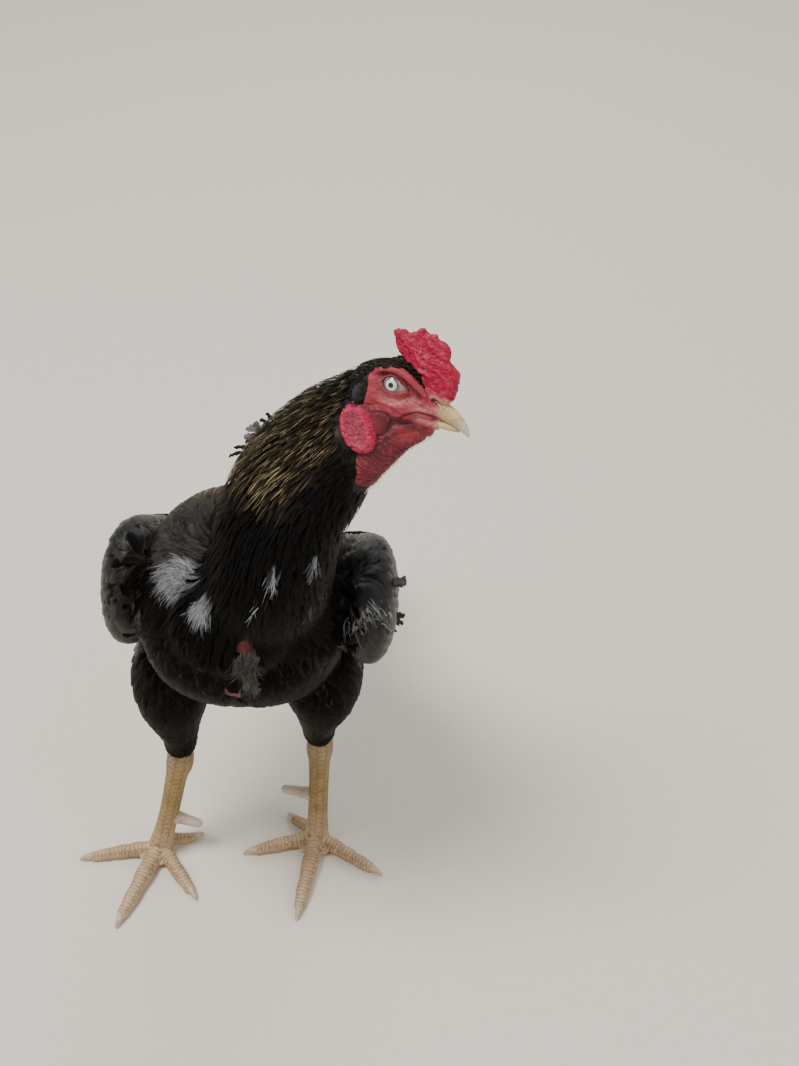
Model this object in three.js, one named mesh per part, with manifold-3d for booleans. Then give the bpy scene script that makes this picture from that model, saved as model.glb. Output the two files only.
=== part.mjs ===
// A life-size standing game cock, in millimetres. +Z is up, the trunk faces -Y and +X is the bird's left.
// The head is turned to the bird's left and tilted, and the weight is over the left leg.
// Each named mesh is one closed solid; neighbours keep a gap of GAP, and the soles are flats at z = 0.
import * as THREE from "three";
import { mergeVertices } from "three/addons/utils/BufferGeometryUtils.js";
import Module from "manifold-3d";

const wasm = await Module();
wasm.setup();

// ---------------------------------------------------------------- driving dimensions
const GAP = 0.4; // between neighbouring solids
const MID = 24; // x of the trunk's middle plane, to the left of the midpoint between the feet
const V = (x, y, z) => new THREE.Vector3(x, y, z);
const degrees = THREE.MathUtils.degToRad;
const SIDES = { left: 1, right: -1 };

const HEAD = {
  centre: V(134, -71, 519), // midway between the eyes
  yaw: 70, // turned from straight ahead towards the bird's left
  pitch: 5, // bill tipped down
  roll: 18, // right side tipped up
};
const EYE = { radius: 7.4, side: 8.2 };
const SHANK = { hock: 11, middle: 8.2, ankle: 9.2 };
const LEGS = {
  left: {
    foot: V(70, 1, 0),
    hock: V(73, 8, 112),
    yaw: -6, // turned inwards, towards the bird's right
    knee: V(72, -14, 238),
    toes: { inner: -66, middle: 0, outer: 65, hind: 231 },
    spur: 55,
  },
  right: {
    foot: V(-62, -19, 0),
    hock: V(-39, -12, 108),
    yaw: -15,
    knee: V(-30, -22, 238),
    toes: { inner: 52, middle: 0, outer: -62, hind: 135 },
    spur: 44,
  },
};
// reach from the middle of the foot to the end of the flesh, radius at the root and near the claw,
// claw length, and how high the root is lifted off the ground
const TOES = {
  inner: { reach: 56, root: 7.0, end: 5.6, claw: 12, lift: 0 },
  middle: { reach: 78, root: 8.2, end: 5.8, claw: 13, lift: 0 },
  outer: { reach: 60, root: 6.8, end: 5.2, claw: 12, lift: 0 },
  hind: { reach: 34, root: 5.6, end: 4.8, claw: 10, lift: 10 },
};

// ---------------------------------------------------------------- solids from lofted rings
// A point of a superellipse with half-axes a and b; power 2 is an ellipse, and more is squarer.
function superellipse(angle, a, b, power) {
  const round = (c) => Math.sign(c) * Math.abs(c) ** (2 / power);
  return [a * round(Math.cos(angle)), b * round(Math.sin(angle))];
}

// Catmull-Rom through a list of numbers, at t from 0 to 1.
function along(values, t) {
  const s = t * (values.length - 1);
  const i = Math.min(Math.floor(s), values.length - 2);
  const f = s - i;
  const at = (k) => values[Math.max(0, Math.min(values.length - 1, k))];
  const [a, b, c, d] = [at(i - 1), at(i), at(i + 1), at(i + 2)];
  const square = 2 * a - 5 * b + 4 * c - d;
  const cube = 3 * b - a - 3 * c + d;
  return 0.5 * (2 * b + (c - a) * f + square * f ** 2 + cube * f ** 3);
}

// A closed body through stations [x, y, z, half-width, half-height], with rounded ends.
// across is the direction of the half-width; grow makes the body that much larger all round.
function loft(stations, { across, ring = 20, steps = 14, power = 2, caps = [0.6, 0.6], grow = 0 }) {
  const value = (column, t) => along(stations.map((s) => s[column]), t);
  const centre = (t) => V(value(0, t), value(1, t), value(2, t));
  const axis = (t) => centre(Math.min(1, t + 0.01)).sub(centre(Math.max(0, t - 0.01))).normalize();
  const rings = [];
  const addRing = (t, scale, offset) => {
    const ahead = axis(t);
    const side = across.clone().addScaledVector(ahead, -across.dot(ahead)).normalize();
    const up = new THREE.Vector3().crossVectors(ahead, side);
    const middle = centre(t).addScaledVector(ahead, offset);
    const points = [];
    for (let k = 0; k < ring; k++) {
      const [a, b] = superellipse((2 * Math.PI * k) / ring, value(3, t) + grow, value(4, t) + grow, power);
      points.push(middle.clone().addScaledVector(side, a * scale).addScaledVector(up, b * scale));
    }
    rings.push(points);
  };
  const capAngles = (ring > 8 ? [62, 32] : [45]).map(degrees); // small ends are plainer
  const reach = (t, cap) => cap * Math.min(value(3, t), value(4, t)) + grow;
  for (const a of capAngles) addRing(0, Math.cos(a), -reach(0, caps[0]) * Math.sin(a));
  for (let i = 0; i <= steps; i++) addRing(i / steps, 1, 0);
  for (const a of capAngles.toReversed()) addRing(1, Math.cos(a), reach(1, caps[1]) * Math.sin(a));

  const first = centre(0).addScaledVector(axis(0), -reach(0, caps[0]));
  const last = centre(1).addScaledVector(axis(1), reach(1, caps[1]));
  const positions = [first, ...rings.flat(), last].flatMap((p) => p.toArray());
  const index = [];
  const at = (r, k) => 1 + r * ring + (k % ring);
  const end = positions.length / 3 - 1;
  for (let k = 0; k < ring; k++) {
    index.push(0, at(0, k + 1), at(0, k));
    index.push(end, at(rings.length - 1, k), at(rings.length - 1, k + 1));
    for (let r = 0; r + 1 < rings.length; r++) {
      index.push(at(r, k), at(r, k + 1), at(r + 1, k + 1));
      index.push(at(r, k), at(r + 1, k + 1), at(r + 1, k));
    }
  }
  const geometry = new THREE.BufferGeometry();
  geometry.setAttribute("position", new THREE.Float32BufferAttribute(positions, 3));
  geometry.setIndex(index);
  return solid(geometry);
}

// A closed three.js geometry as a manifold-3d solid, and back.
function solid(geometry) {
  const bare = geometry.clone();
  for (const name of Object.keys(bare.attributes)) {
    if (name !== "position") bare.deleteAttribute(name);
  }
  const merged = mergeVertices(bare, 1e-4);
  const vertProperties = new Float32Array(merged.attributes.position.array);
  const triVerts = new Uint32Array(merged.index.array);
  const made = new wasm.Manifold(new wasm.Mesh({ numProp: 3, vertProperties, triVerts }));
  return made.volume() < 0 ? flipped(merged) : made;
}

function flipped(geometry) {
  const index = geometry.index.array.slice();
  for (let i = 0; i < index.length; i += 3) [index[i + 1], index[i + 2]] = [index[i + 2], index[i + 1]];
  return solid(geometry.clone().setIndex([...index]));
}

function geometryOf(made) {
  const mesh = made.getMesh();
  const geometry = new THREE.BufferGeometry();
  geometry.setAttribute("position", new THREE.BufferAttribute(new Float32Array(mesh.vertProperties), 3));
  geometry.setIndex(new THREE.BufferAttribute(new Uint32Array(mesh.triVerts), 1));
  geometry.computeVertexNormals();
  return geometry;
}

// What is left of a solid after its neighbours are cut away: the largest single body.
function cutBy(made, ...others) {
  const rest = others.reduce((left, other) => left.subtract(other), made);
  return rest.decompose().reduce((a, b) => (a.volume() > b.volume() ? a : b));
}

function ellipsoid(centre, x, y, z, grow = 0, segments = 20) {
  const ball = new THREE.SphereGeometry(1, segments, Math.round(segments * 0.6));
  ball.scale(x + grow, y + grow, z + grow).translate(centre.x, centre.y, centre.z);
  return solid(ball);
}

// ---------------------------------------------------------------- materials
const LOOKS = {
  plumage: { color: 0x14110f, roughness: 0.55 },
  hackle: { color: 0x2a2012, roughness: 0.55 },
  bare_skin: { color: 0xb02f3e, roughness: 0.5 },
  comb: { color: 0xb81f38, roughness: 0.5 },
  horn: { color: 0xc9b68a, roughness: 0.4 },
  leg_skin: { color: 0xb39a5c, roughness: 0.6 },
  ear_feathers: { color: 0x3a3436, roughness: 0.8 },
  eye: { color: 0xd8dad6, roughness: 0.1 },
};
const finish = (look) => new THREE.MeshStandardMaterial({ ...look, metalness: 0 });
const MATERIALS = Object.fromEntries(Object.entries(LOOKS).map(([name, look]) => [name, finish(look)]));

function node(group, name, made, material) {
  const mesh = new THREE.Mesh(geometryOf(made), MATERIALS[material]);
  mesh.name = name;
  group.add(mesh);
}

// ---------------------------------------------------------------- trunk and neck
// Along the trunk from the breast to the rump: y, z, half-width, half-depth.
const TRUNK = [
  [-98, 338, 44, 40],
  [-78, 324, 66, 64],
  [-38, 302, 76, 79],
  [8, 276, 76, 80],
  [52, 252, 67, 69],
  [92, 231, 52, 52],
  [124, 216, 39, 37],
  [148, 205, 25, 26],
];
const trunkShape = (grow = 0) =>
  loft(TRUNK.map(([y, z, w, h]) => [MID, y, z, w, h]), {
    across: V(1, 0, 0), ring: 16, steps: 10, power: 2.45, caps: [0.55, 0.5], grow,
  });

// Up the neck from inside the breast to the skull: x, y, z, half-depth from nape to throat, half-width.
const NECK = [
  [36, -58, 318, 40, 50],
  [45, -77, 352, 44, 51],
  [52, -80, 382, 43, 48],
  [58, -76, 411, 43, 42],
  [73, -69, 441, 43, 36],
  [98, -69, 474, 38, 28],
  [117, -70, 496, 30, 21],
];
const throatWards = V(0.62, -0.38, -0.68);
const neckShape = (grow = 0) =>
  loft(NECK, { across: throatWards, ring: 14, steps: 8, caps: [0.4, 0.3], grow });

// ---------------------------------------------------------------- head, in a frame of its own
// Its +X is along the bill, +Y to the left and +Z up through the crown.
function makeHeadFrame() {
  const [yaw, pitch] = [degrees(HEAD.yaw), degrees(HEAD.pitch)];
  const bill = V(Math.sin(yaw) * Math.cos(pitch), -Math.cos(yaw) * Math.cos(pitch), -Math.sin(pitch));
  const level = V(Math.cos(yaw), Math.sin(yaw), 0);
  const left = level.applyAxisAngle(bill, -degrees(HEAD.roll));
  const up = new THREE.Vector3().crossVectors(bill, left);
  return new THREE.Matrix4().makeBasis(bill, left, up).setPosition(HEAD.centre);
}
const headFrame = makeHeadFrame();

// Along the skull from the nape to the bill: x, height of the middle, half-width, half-height.
const SKULL = [
  [-29, -15, 12.5, 14],
  [-21, -12, 14.5, 16.5],
  [-10, -7.5, 15, 18.5],
  [1, -5.5, 14.5, 18.5],
  [11, -7, 12, 16],
  [20, -9.5, 9.5, 12],
  [27, -11, 7.5, 9.5],
];
const BROW = { x: 6, side: 9, z: 6.5, length: 12, thickness: 5, height: 4 };
const CHEEK = { x: 2, side: 7, z: -15, length: 17, thickness: 8, height: 9 };
// A paired part of the face: an ellipsoid with half-axes length, thickness and height.
const onSide = (part, side, grow = 0, segments = 10) =>
  ellipsoid(V(part.x, side * part.side, part.z), part.length, part.thickness, part.height, grow, segments);

const skullCase = (grow = 0) =>
  loft(SKULL.map(([x, z, w, h]) => [x, 0, z, w, h]), {
    across: V(0, 1, 0), ring: 12, steps: 7, power: 2.2, caps: [0.7, 0.5], grow,
  });
function skullShape(grow = 0) {
  let made = skullCase(grow);
  for (const side of [-1, 1]) {
    for (const part of [BROW, CHEEK]) made = made.add(onSide(part, side, grow, 8));
  }
  return made;
}

// The bare skin under the chin, down to the front of the neck: x, z, half-length, half-width.
const THROAT = [
  [14, -22, 14, 7],
  [8, -32, 17.5, 10.5],
  [1, -44, 16, 14],
  [-5, -56, 15, 16],
  [-10, -68, 13, 16],
];
const throatShape = (grow = 0) =>
  loft(THROAT.map(([x, z, l, w]) => [x, 0, z, l, w]), {
    across: V(1, 0, 0), ring: 12, steps: 6, caps: [0.5, 0.5], grow,
  });

const UPPER_BILL = [
  [23, -8.5, 6.8, 6.2],
  [32, -10, 6.4, 5.8],
  [40.5, -12.6, 5.0, 4.8],
  [47.5, -16.4, 3.1, 3.0],
  [51.5, -19.8, 1.5, 1.6],
];
const LOWER_BILL = [
  [20, -19.5, 6.4, 4.0],
  [30, -19.5, 5.4, 3.6],
  [39, -20, 3.9, 2.6],
  [45, -21.2, 2.0, 1.4],
];
const billShape = (line, grow = 0) =>
  loft(line.map(([x, z, w, h]) => [x, 0, z, w, h]), {
    across: V(0, 1, 0), ring: 8, steps: 5, caps: [0.3, 0.9], grow,
  });

// The comb's outline from its front foot, over the lobed edge, to the free hind lobe and back: x, z.
const COMB_OUTLINE = [
  [30, -8], [35, -5], [38, 0], [38, 6], [37.5, 13], [34, 18], [30, 21], [29.5, 26], [25.5, 31.5],
  [20.5, 33], [16.5, 35.5], [12, 34], [7.5, 36], [3.5, 34], [0, 31.5], [-5, 32.5], [-10.5, 30.5],
  [-8, 23], [1, 13.5], [9, 9], [16, 4], [20, -5],
];
// Through the comb from side to side: distance from the middle plane, and how far the edge is drawn in.
const COMB_LAYERS = [[-5.6, 2.4], [-4, 0.8], [0, 0], [4, 0.8], [5.6, 2.4]];
function combShape() {
  const closed = [...COMB_OUTLINE, COMB_OUTLINE[0]].map(([x, z]) => new THREE.Vector2(x, z));
  const outline = new THREE.SplineCurve(closed).getPoints(44).slice(0, -1);
  const count = outline.length;
  const inwards = outline.map((p, i) => {
    const tangent = outline[(i + 1) % count].clone().sub(outline[(i + count - 1) % count]).normalize();
    return new THREE.Vector2(-tangent.y, tangent.x);
  });
  const positions = COMB_LAYERS.flatMap(([side, inset]) =>
    outline.flatMap((p, i) => [p.x + inwards[i].x * inset, side, p.y + inwards[i].y * inset]),
  );
  const lids = THREE.ShapeUtils.triangulateShape(outline, []);
  const top = (COMB_LAYERS.length - 1) * count;
  const index = lids.flatMap(([a, b, c]) => [a, b, c, top + c, top + b, top + a]);
  for (let layer = 0; layer + 1 < COMB_LAYERS.length; layer++) {
    for (let i = 0; i < count; i++) {
      const [a, b] = [layer * count + i, layer * count + ((i + 1) % count)];
      index.push(b, a, a + count, b, a + count, b + count);
    }
  }
  const geometry = new THREE.BufferGeometry();
  geometry.setAttribute("position", new THREE.Float32BufferAttribute(positions, 3));
  geometry.setIndex(index);
  return solid(geometry);
}

const LOBE = { x: -14, side: 14.5, z: -33, length: 11.5, thickness: 4, height: 15 };
const EAR = { x: -18, side: 13.5, z: -12, length: 5.8, thickness: 3.4, height: 8 };
const eyeShape = (side, grow = 0) => {
  const r = EYE.radius;
  return ellipsoid(V(0, side * EYE.side, 0), r, r, r, grow, 12);
};

function makeHead(bird) {
  const head = new THREE.Group();
  head.applyMatrix4(headFrame);
  bird.add(head);
  let skull = skullShape();
  for (const side of Object.values(SIDES)) skull = skull.subtract(eyeShape(side, GAP));
  node(head, "head", cutBy(skull), "bare_skin");

  const grownSkull = skullShape(GAP);
  const throat = cutBy(throatShape(), grownSkull);
  node(head, "throat", throat, "bare_skin");
  const upper = cutBy(billShape(UPPER_BILL), grownSkull);
  node(head, "bill_upper", upper, "horn");
  const cutters = [grownSkull, billShape(UPPER_BILL, GAP), throatShape(GAP)];
  node(head, "bill_lower", cutBy(billShape(LOWER_BILL), ...cutters), "horn");
  node(head, "comb", cutBy(combShape(), grownSkull, billShape(UPPER_BILL, GAP)), "comb");
  for (const [name, side] of Object.entries(SIDES)) {
    node(head, `eye_${name}`, eyeShape(side), "eye");
    node(head, `ear_${name}`, cutBy(onSide(EAR, side), grownSkull), "ear_feathers");
    const lobeCutters = [grownSkull, throatShape(GAP), onSide(EAR, side, GAP)];
    node(head, `earlobe_${name}`, cutBy(onSide(LOBE, side), ...lobeCutters), "bare_skin");
  }
}

// Everything of the head that the neck must clear, in the bird's frame.
function headCutter() {
  const parts = [skullCase(GAP), throatShape(GAP)];
  for (const side of [-1, 1]) parts.push(onSide(LOBE, side, GAP), onSide(EAR, side, GAP));
  return parts.map((part) => part.transform(headFrame.elements));
}

// ---------------------------------------------------------------- wings
// Along a folded wing to its tips: distance from the middle plane, y, z, half-thickness, half-depth.
const WING = [
  [84, -56, 322, 15, 30],
  [89, -42, 314, 20, 42],
  [91, -14, 298, 20, 47],
  [86, 22, 275, 18, 45],
  [75, 60, 251, 14, 39],
  [60, 98, 230, 10, 31],
  [46, 134, 211, 7, 21],
  [37, 162, 198, 4, 11],
];
const WING_SHIFT = { left: V(0, 0, -8), right: V(6, 0, 0) };
const WING_SPLIT = 40; // y where the coverts end and only the flight feathers are left
function wingShape(name, side, grow = 0) {
  const shift = WING_SHIFT[name];
  const stations = WING.map(([out, y, z, w, h]) => [MID + side * out + shift.x, y, z + shift.z, w, h]);
  return loft(stations, { across: V(1, 0, 0), ring: 12, steps: 8, power: 2.3, caps: [0.8, 0.8], grow });
}

// A box that covers all y on one side of a slanted cut through the wing.
function halfSpace(direction) {
  const size = 600;
  const box = new THREE.BoxGeometry(size, size, size);
  box.translate(0, (direction * size) / 2, 0).rotateX(degrees(28)).translate(0, WING_SPLIT, 262);
  return solid(box);
}

// ---------------------------------------------------------------- tail
// Along each part of the tail: distance from the middle plane, y, z, half-width, half-depth.
const TAIL_MAIN = [
  [0, 130, 222, 24, 29],
  [0, 168, 204, 23, 37],
  [0, 210, 180, 19, 40],
  [0, 250, 152, 13, 34],
  [0, 278, 130, 6, 20],
];
const SICKLE = [
  [18, 150, 240, 6, 13],
  [26, 190, 228, 5, 14],
  [28, 235, 200, 4, 13],
  [26, 276, 158, 3, 9],
  [20, 304, 112, 1.6, 4],
];
const tailPart = (line, side, grow = 0) =>
  loft(line.map(([out, y, z, w, h]) => [MID + side * out, y, z, w, h]), {
    across: V(1, 0, 0), ring: 8, steps: 6, caps: [0.5, 0.8], grow,
  });

// ---------------------------------------------------------------- legs
// Down the drumstick from inside the trunk to the hock: share of the way, half-width, half-depth.
const DRUMSTICK = [
  [0, 32, 42],
  [0.2, 33, 43],
  [0.4, 28, 37],
  [0.58, 20, 28],
  [0.74, 14.5, 19],
  [0.87, 12.8, 15],
];
const BULGE = 8; // how far the drumstick swells outwards from the straight line between knee and hock
function drumstickShape(leg, side, grow = 0) {
  const stations = DRUMSTICK.map(([t, w, h]) => {
    const p = leg.knee.clone().lerp(leg.hock, t);
    p.x += side * BULGE * Math.sin(Math.PI * Math.min(1, t * 1.3)) * (1 - t);
    return [p.x, p.y, p.z, w, h];
  });
  return loft(stations, { across: V(1, 0, 0), ring: 12, steps: 6, caps: [0.6, 0.3], grow });
}

const PAD = { radius: 13, height: 11 };
function shankShape(leg, grow = 0) {
  const at = (t, z) => leg.hock.clone().lerp(leg.foot, t).setZ(z);
  const rows = [
    [at(0, leg.hock.z + 8), SHANK.hock * 0.9, SHANK.hock],
    [at(0.06, leg.hock.z - 5), SHANK.hock, SHANK.hock * 1.1],
    [at(0.2, leg.hock.z * 0.82), SHANK.middle * 1.1, SHANK.middle * 1.25],
    [at(0.5, leg.hock.z * 0.5), SHANK.middle, SHANK.middle * 1.1],
    [at(0.75, leg.hock.z * 0.27), SHANK.middle * 1.08, SHANK.middle * 1.1],
    [at(1, 7), SHANK.ankle, SHANK.ankle],
  ];
  const column = loft(rows.map(([p, w, h]) => [p.x, p.y, p.z, w, h]), {
    across: V(1, 0, 0), ring: 10, steps: 6, caps: [0.5, 0.7], grow,
  });
  const pad = ellipsoid(V(leg.foot.x, leg.foot.y, 3), PAD.radius, PAD.radius, PAD.height, grow, 10);
  return column.add(pad);
}

// A toe lies along +X of the foot from its middle, arched a little, with its claw after it.
const KNUCKLE = 1.2; // how much higher the middle of a toe arches
function toeShape({ reach, root, end, lift }, grow = 0) {
  const stations = [0.08, 0.3, 0.55, 0.8, 1].map((t) => {
    const radius = root + (end - root) * t;
    const swell = 1 + 0.08 * Math.sin(Math.PI * 3 * t);
    const z = radius * 0.72 + KNUCKLE * Math.sin(Math.PI * t) + lift * (1 - t) ** 1.5;
    return [reach * t - end * t, 0, z, radius * swell, radius * swell];
  });
  return loft(stations, { across: V(0, 1, 0), ring: 7, steps: 4, caps: [0.6, 0.95], grow });
}

function clawShape({ reach, end, claw }, grow = 0) {
  const stations = [
    [-3, 0.95, 0.58],
    [2, 0.9, 0.5],
    [claw * 0.6, 0.62, 0.3],
    [claw - 1, 0.24, 0.12],
  ].map(([x, lift, size]) => [reach + x - 2, 0, end * lift, end * size, end * size]);
  return loft(stations, { across: V(0, 1, 0), ring: 6, steps: 2, caps: [0.4, 0.9], grow });
}

const SPUR = { length: 24, root: 4.8, tip: 3.2 };
function spurShape(leg, side) {
  const root = leg.foot.clone().lerp(leg.hock, leg.spur / leg.hock.z);
  const inwards = V(-side, 0.25, -0.1).normalize();
  const stations = [0, 0.5, 1].map((t) => {
    const p = root.clone().addScaledVector(inwards, SHANK.middle * 0.4 + (SPUR.length + 4) * t);
    const radius = SPUR.root + (SPUR.tip - SPUR.root) * t;
    return [p.x, p.y, p.z, radius, radius];
  });
  return loft(stations, { across: V(0, 0, 1), ring: 7, steps: 2, caps: [0.5, 0.9] });
}

function makeLeg(bird, name, side, trunk, wing) {
  const leg = LEGS[name];
  const drumstick = cutBy(drumstickShape(leg, side), trunk, wing);
  node(bird, `drumstick_${name}`, drumstick, "plumage");
  const floor = solid(new THREE.BoxGeometry(900, 900, 100).translate(0, 0, -50));
  node(bird, `shank_${name}`, cutBy(shankShape(leg), drumstickShape(leg, side, GAP), floor), "leg_skin");
  const grownShank = shankShape(leg, GAP);
  node(bird, `spur_${name}`, cutBy(spurShape(leg, side), grownShank), "horn");

  // A foot's frame looks along its own middle toe.
  const foot = new THREE.Group();
  foot.position.copy(leg.foot);
  foot.rotation.z = degrees(leg.yaw);
  bird.add(foot);
  foot.updateMatrix();
  const toFoot = foot.matrix.clone().invert();
  const shankThere = grownShank.transform(toFoot.elements);
  const floorThere = floor.transform(toFoot.elements);
  const turned = (shape, toe) =>
    shape.transform(new THREE.Matrix4().makeRotationZ(degrees(leg.toes[toe] - 90)).elements);
  const before = [];
  for (const toe of ["middle", "inner", "outer", "hind"]) {
    const flesh = cutBy(turned(toeShape(TOES[toe]), toe), shankThere, floorThere, ...before);
    node(foot, `toe_${toe}_${name}`, flesh, "leg_skin");
    const grownToe = turned(toeShape(TOES[toe], GAP), toe);
    const claw = cutBy(turned(clawShape(TOES[toe]), toe), grownToe, floorThere);
    node(foot, `claw_${toe}_${name}`, claw, "horn");
    before.push(grownToe);
  }
}

// ---------------------------------------------------------------- the whole bird
function makeBird() {
  const bird = new THREE.Group();
  const neck = neckShape(GAP);
  const trunk = trunkShape(GAP);
  makeHead(bird);
  node(bird, "neck", cutBy(neckShape(), trunk, ...headCutter()), "hackle");
  node(bird, "trunk", trunkShape(), "plumage");
  for (const [name, side] of Object.entries(SIDES)) {
    const wing = cutBy(wingShape(name, side), trunk, neck);
    node(bird, `wing_coverts_${name}`, cutBy(wing, halfSpace(1)), "plumage");
    const rear = wing.subtract(halfSpace(-1).translate([0, GAP, 0]));
    node(bird, `wing_flights_${name}`, cutBy(rear), "plumage");
    makeLeg(bird, name, side, trunk, wingShape(name, side, GAP));
  }
  const wings = Object.entries(SIDES).map(([name, side]) => wingShape(name, side, GAP));
  node(bird, "tail_main", cutBy(tailPart(TAIL_MAIN, 1), trunk, ...wings), "plumage");
  for (const [name, side] of Object.entries(SIDES)) {
    const sickle = cutBy(tailPart(SICKLE, side), trunk, tailPart(TAIL_MAIN, 1, GAP), ...wings);
    node(bird, `tail_sickle_${name}`, sickle, "plumage");
  }
  return bird;
}

// The origin is under the middle of the whole model's box.
const bird = makeBird();
bird.updateMatrixWorld(true);
const box = new THREE.Box3().setFromObject(bird, true);
const middle = box.getCenter(new THREE.Vector3());
bird.position.set(-middle.x, -middle.y, -box.min.z);

const model = new THREE.Group();
model.add(bird);
export default model;
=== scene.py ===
import math

import bpy
import numpy as np
from mathutils import Matrix, Vector, noise
from mathutils.bvhtree import BVHTree
from mathutils.kdtree import KDTree


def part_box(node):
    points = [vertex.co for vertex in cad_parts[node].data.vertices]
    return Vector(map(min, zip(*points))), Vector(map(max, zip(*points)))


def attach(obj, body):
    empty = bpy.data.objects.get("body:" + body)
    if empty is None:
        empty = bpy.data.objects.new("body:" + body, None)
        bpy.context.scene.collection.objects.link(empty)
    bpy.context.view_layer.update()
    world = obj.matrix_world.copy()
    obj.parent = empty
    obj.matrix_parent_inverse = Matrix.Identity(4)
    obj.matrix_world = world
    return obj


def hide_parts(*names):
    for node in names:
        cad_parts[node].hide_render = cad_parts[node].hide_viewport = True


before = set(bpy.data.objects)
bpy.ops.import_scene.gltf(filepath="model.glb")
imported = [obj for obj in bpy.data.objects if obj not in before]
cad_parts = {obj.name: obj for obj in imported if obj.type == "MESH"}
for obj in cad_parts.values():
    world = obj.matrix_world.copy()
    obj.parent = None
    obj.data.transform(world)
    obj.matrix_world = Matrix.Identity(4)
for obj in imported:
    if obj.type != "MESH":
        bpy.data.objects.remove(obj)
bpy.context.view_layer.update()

RNG = np.random.default_rng(7)
MM = 0.001
MID = 24.0  # x of the trunk's middle plane
SIDES = {"left": 1, "right": -1}

# ---------------------------------------------------------------- the bird's frame
HEAD_CENTRE = np.array([134.0, -71.0, 519.0])  # midway between the eyes
HEAD_YAW, HEAD_PITCH, HEAD_ROLL = np.radians([70.0, 5.0, 18.0])


def middle(node):
    low, high = (np.array(corner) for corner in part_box(node))
    return (low + high) / 2


SHIFT = (middle("eye_left") + middle("eye_right")) / 2 - HEAD_CENTRE * MM


def unit(v):
    v = np.asarray(v, float)
    return v / np.maximum(np.linalg.norm(v, axis=-1, keepdims=True), 1e-9)


def turn(v, axis, angle):
    """v turned about a unit axis."""
    v, axis = np.asarray(v, float), np.asarray(axis, float)
    c, s = math.cos(angle), math.sin(angle)
    return v * c + np.cross(axis, v) * s + axis * (v @ axis)[..., None] * (1 - c)


def head_axes():
    """Rows are the head's own axes in the bird's frame: bill, left, up."""
    bill = np.array([
        math.sin(HEAD_YAW) * math.cos(HEAD_PITCH),
        -math.cos(HEAD_YAW) * math.cos(HEAD_PITCH),
        -math.sin(HEAD_PITCH),
    ])
    left = turn(np.array([math.cos(HEAD_YAW), math.sin(HEAD_YAW), 0.0]), bill, -HEAD_ROLL)
    return np.array([bill, left, np.cross(bill, left)])


HEAD = head_axes()


def from_head(points):
    return np.asarray(points, float) @ HEAD + HEAD_CENTRE


def to_head(points):
    return (np.asarray(points, float) - HEAD_CENTRE) @ HEAD.T


# ---------------------------------------------------------------- meshes
def added(name, data):
    """A new object in the scene."""
    thing = bpy.data.objects.new(name, data)
    bpy.context.scene.collection.objects.link(thing)
    return thing


def make(name, verts, faces, material, replaces):
    """A piece of the model from points in the bird's frame."""
    mesh = bpy.data.meshes.new(name)
    mesh.from_pydata((np.asarray(verts) * MM + SHIFT).tolist(), [], [list(f) for f in faces])
    return finish_piece(name, mesh, material, replaces)


def finish_piece(name, mesh, material, replaces=()):
    mesh.update()
    mesh.polygons.foreach_set("use_smooth", np.ones(len(mesh.polygons), bool))
    mesh.materials.append(material)
    piece = added(name, mesh)
    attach(piece, "root")
    if replaces:
        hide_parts(*replaces)
    return piece


def vectors(items, key):
    flat = np.empty(len(items) * 3)
    items.foreach_get(key, flat)
    return flat.reshape(-1, 3)


def catmull(rows, t):
    """Catmull-Rom through the rows of a table, at each t from 0 to 1."""
    rows = np.asarray(rows, float)
    s = np.clip(t, 0, 1) * (len(rows) - 1)
    i = np.minimum(s.astype(int), len(rows) - 2)
    f = (s - i)[:, None]
    a, b, c, d = (rows[np.clip(i + k, 0, len(rows) - 1)] for k in (-1, 0, 1, 2))
    square, cube = 2 * a - 5 * b + 4 * c - d, 3 * b - a - 3 * c + d
    return 0.5 * (2 * b + (c - a) * f + square * f**2 + cube * f**3)


def run_of(rows, t, step):
    """The way a table of rows runs at each t."""
    return unit(catmull(rows, t + step)[:, :3] - catmull(rows, t - step)[:, :3])


def squared(value, power):
    """A cosine or sine for an outline that is a circle at power 2 and squarer above."""
    return np.sign(value) * np.abs(value) ** (2 / power)


def loft(stations, across, ring=48, steps=60, power=2.0, caps=(0.6, 0.6)):
    """A closed body through rows of x, y, z, half-width, half-height, with rounded ends."""
    cap = np.radians([75, 60, 45, 30, 15])
    ends, body = np.zeros(len(cap)), np.ones(steps + 1)
    ts = np.concatenate([ends, np.linspace(0, 1, steps + 1), ends + 1])
    scale = np.concatenate([np.cos(cap), body, np.cos(cap[::-1])])
    rows = catmull(stations, ts)
    reach = np.minimum(rows[:, 3], rows[:, 4])
    offset = np.concatenate([-caps[0] * np.sin(cap), body * 0, caps[1] * np.sin(cap[::-1])]) * reach
    ahead = run_of(stations, ts, 0.01)
    across = np.asarray(across, float)
    side = unit(across - ahead * (ahead @ across)[:, None])
    up = np.cross(ahead, side)
    centre = rows[:, :3] + ahead * offset[:, None]
    angle = np.arange(ring) * 2 * np.pi / ring
    a, b = squared(np.cos(angle), power), squared(np.sin(angle), power)
    w, h = (rows[:, 3] * scale)[:, None], (rows[:, 4] * scale)[:, None]
    verts = centre[:, None] + side[:, None] * (w * a)[..., None] + up[:, None] * (h * b)[..., None]
    beyond = 0.05 * np.array([-caps[0] * reach[0], caps[1] * reach[-1]])[:, None]
    poles = centre[[0, -1]] + ahead[[0, -1]] * beyond
    return np.concatenate([verts.reshape(-1, 3), poles]), tube_faces(len(ts), ring, True)


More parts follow.
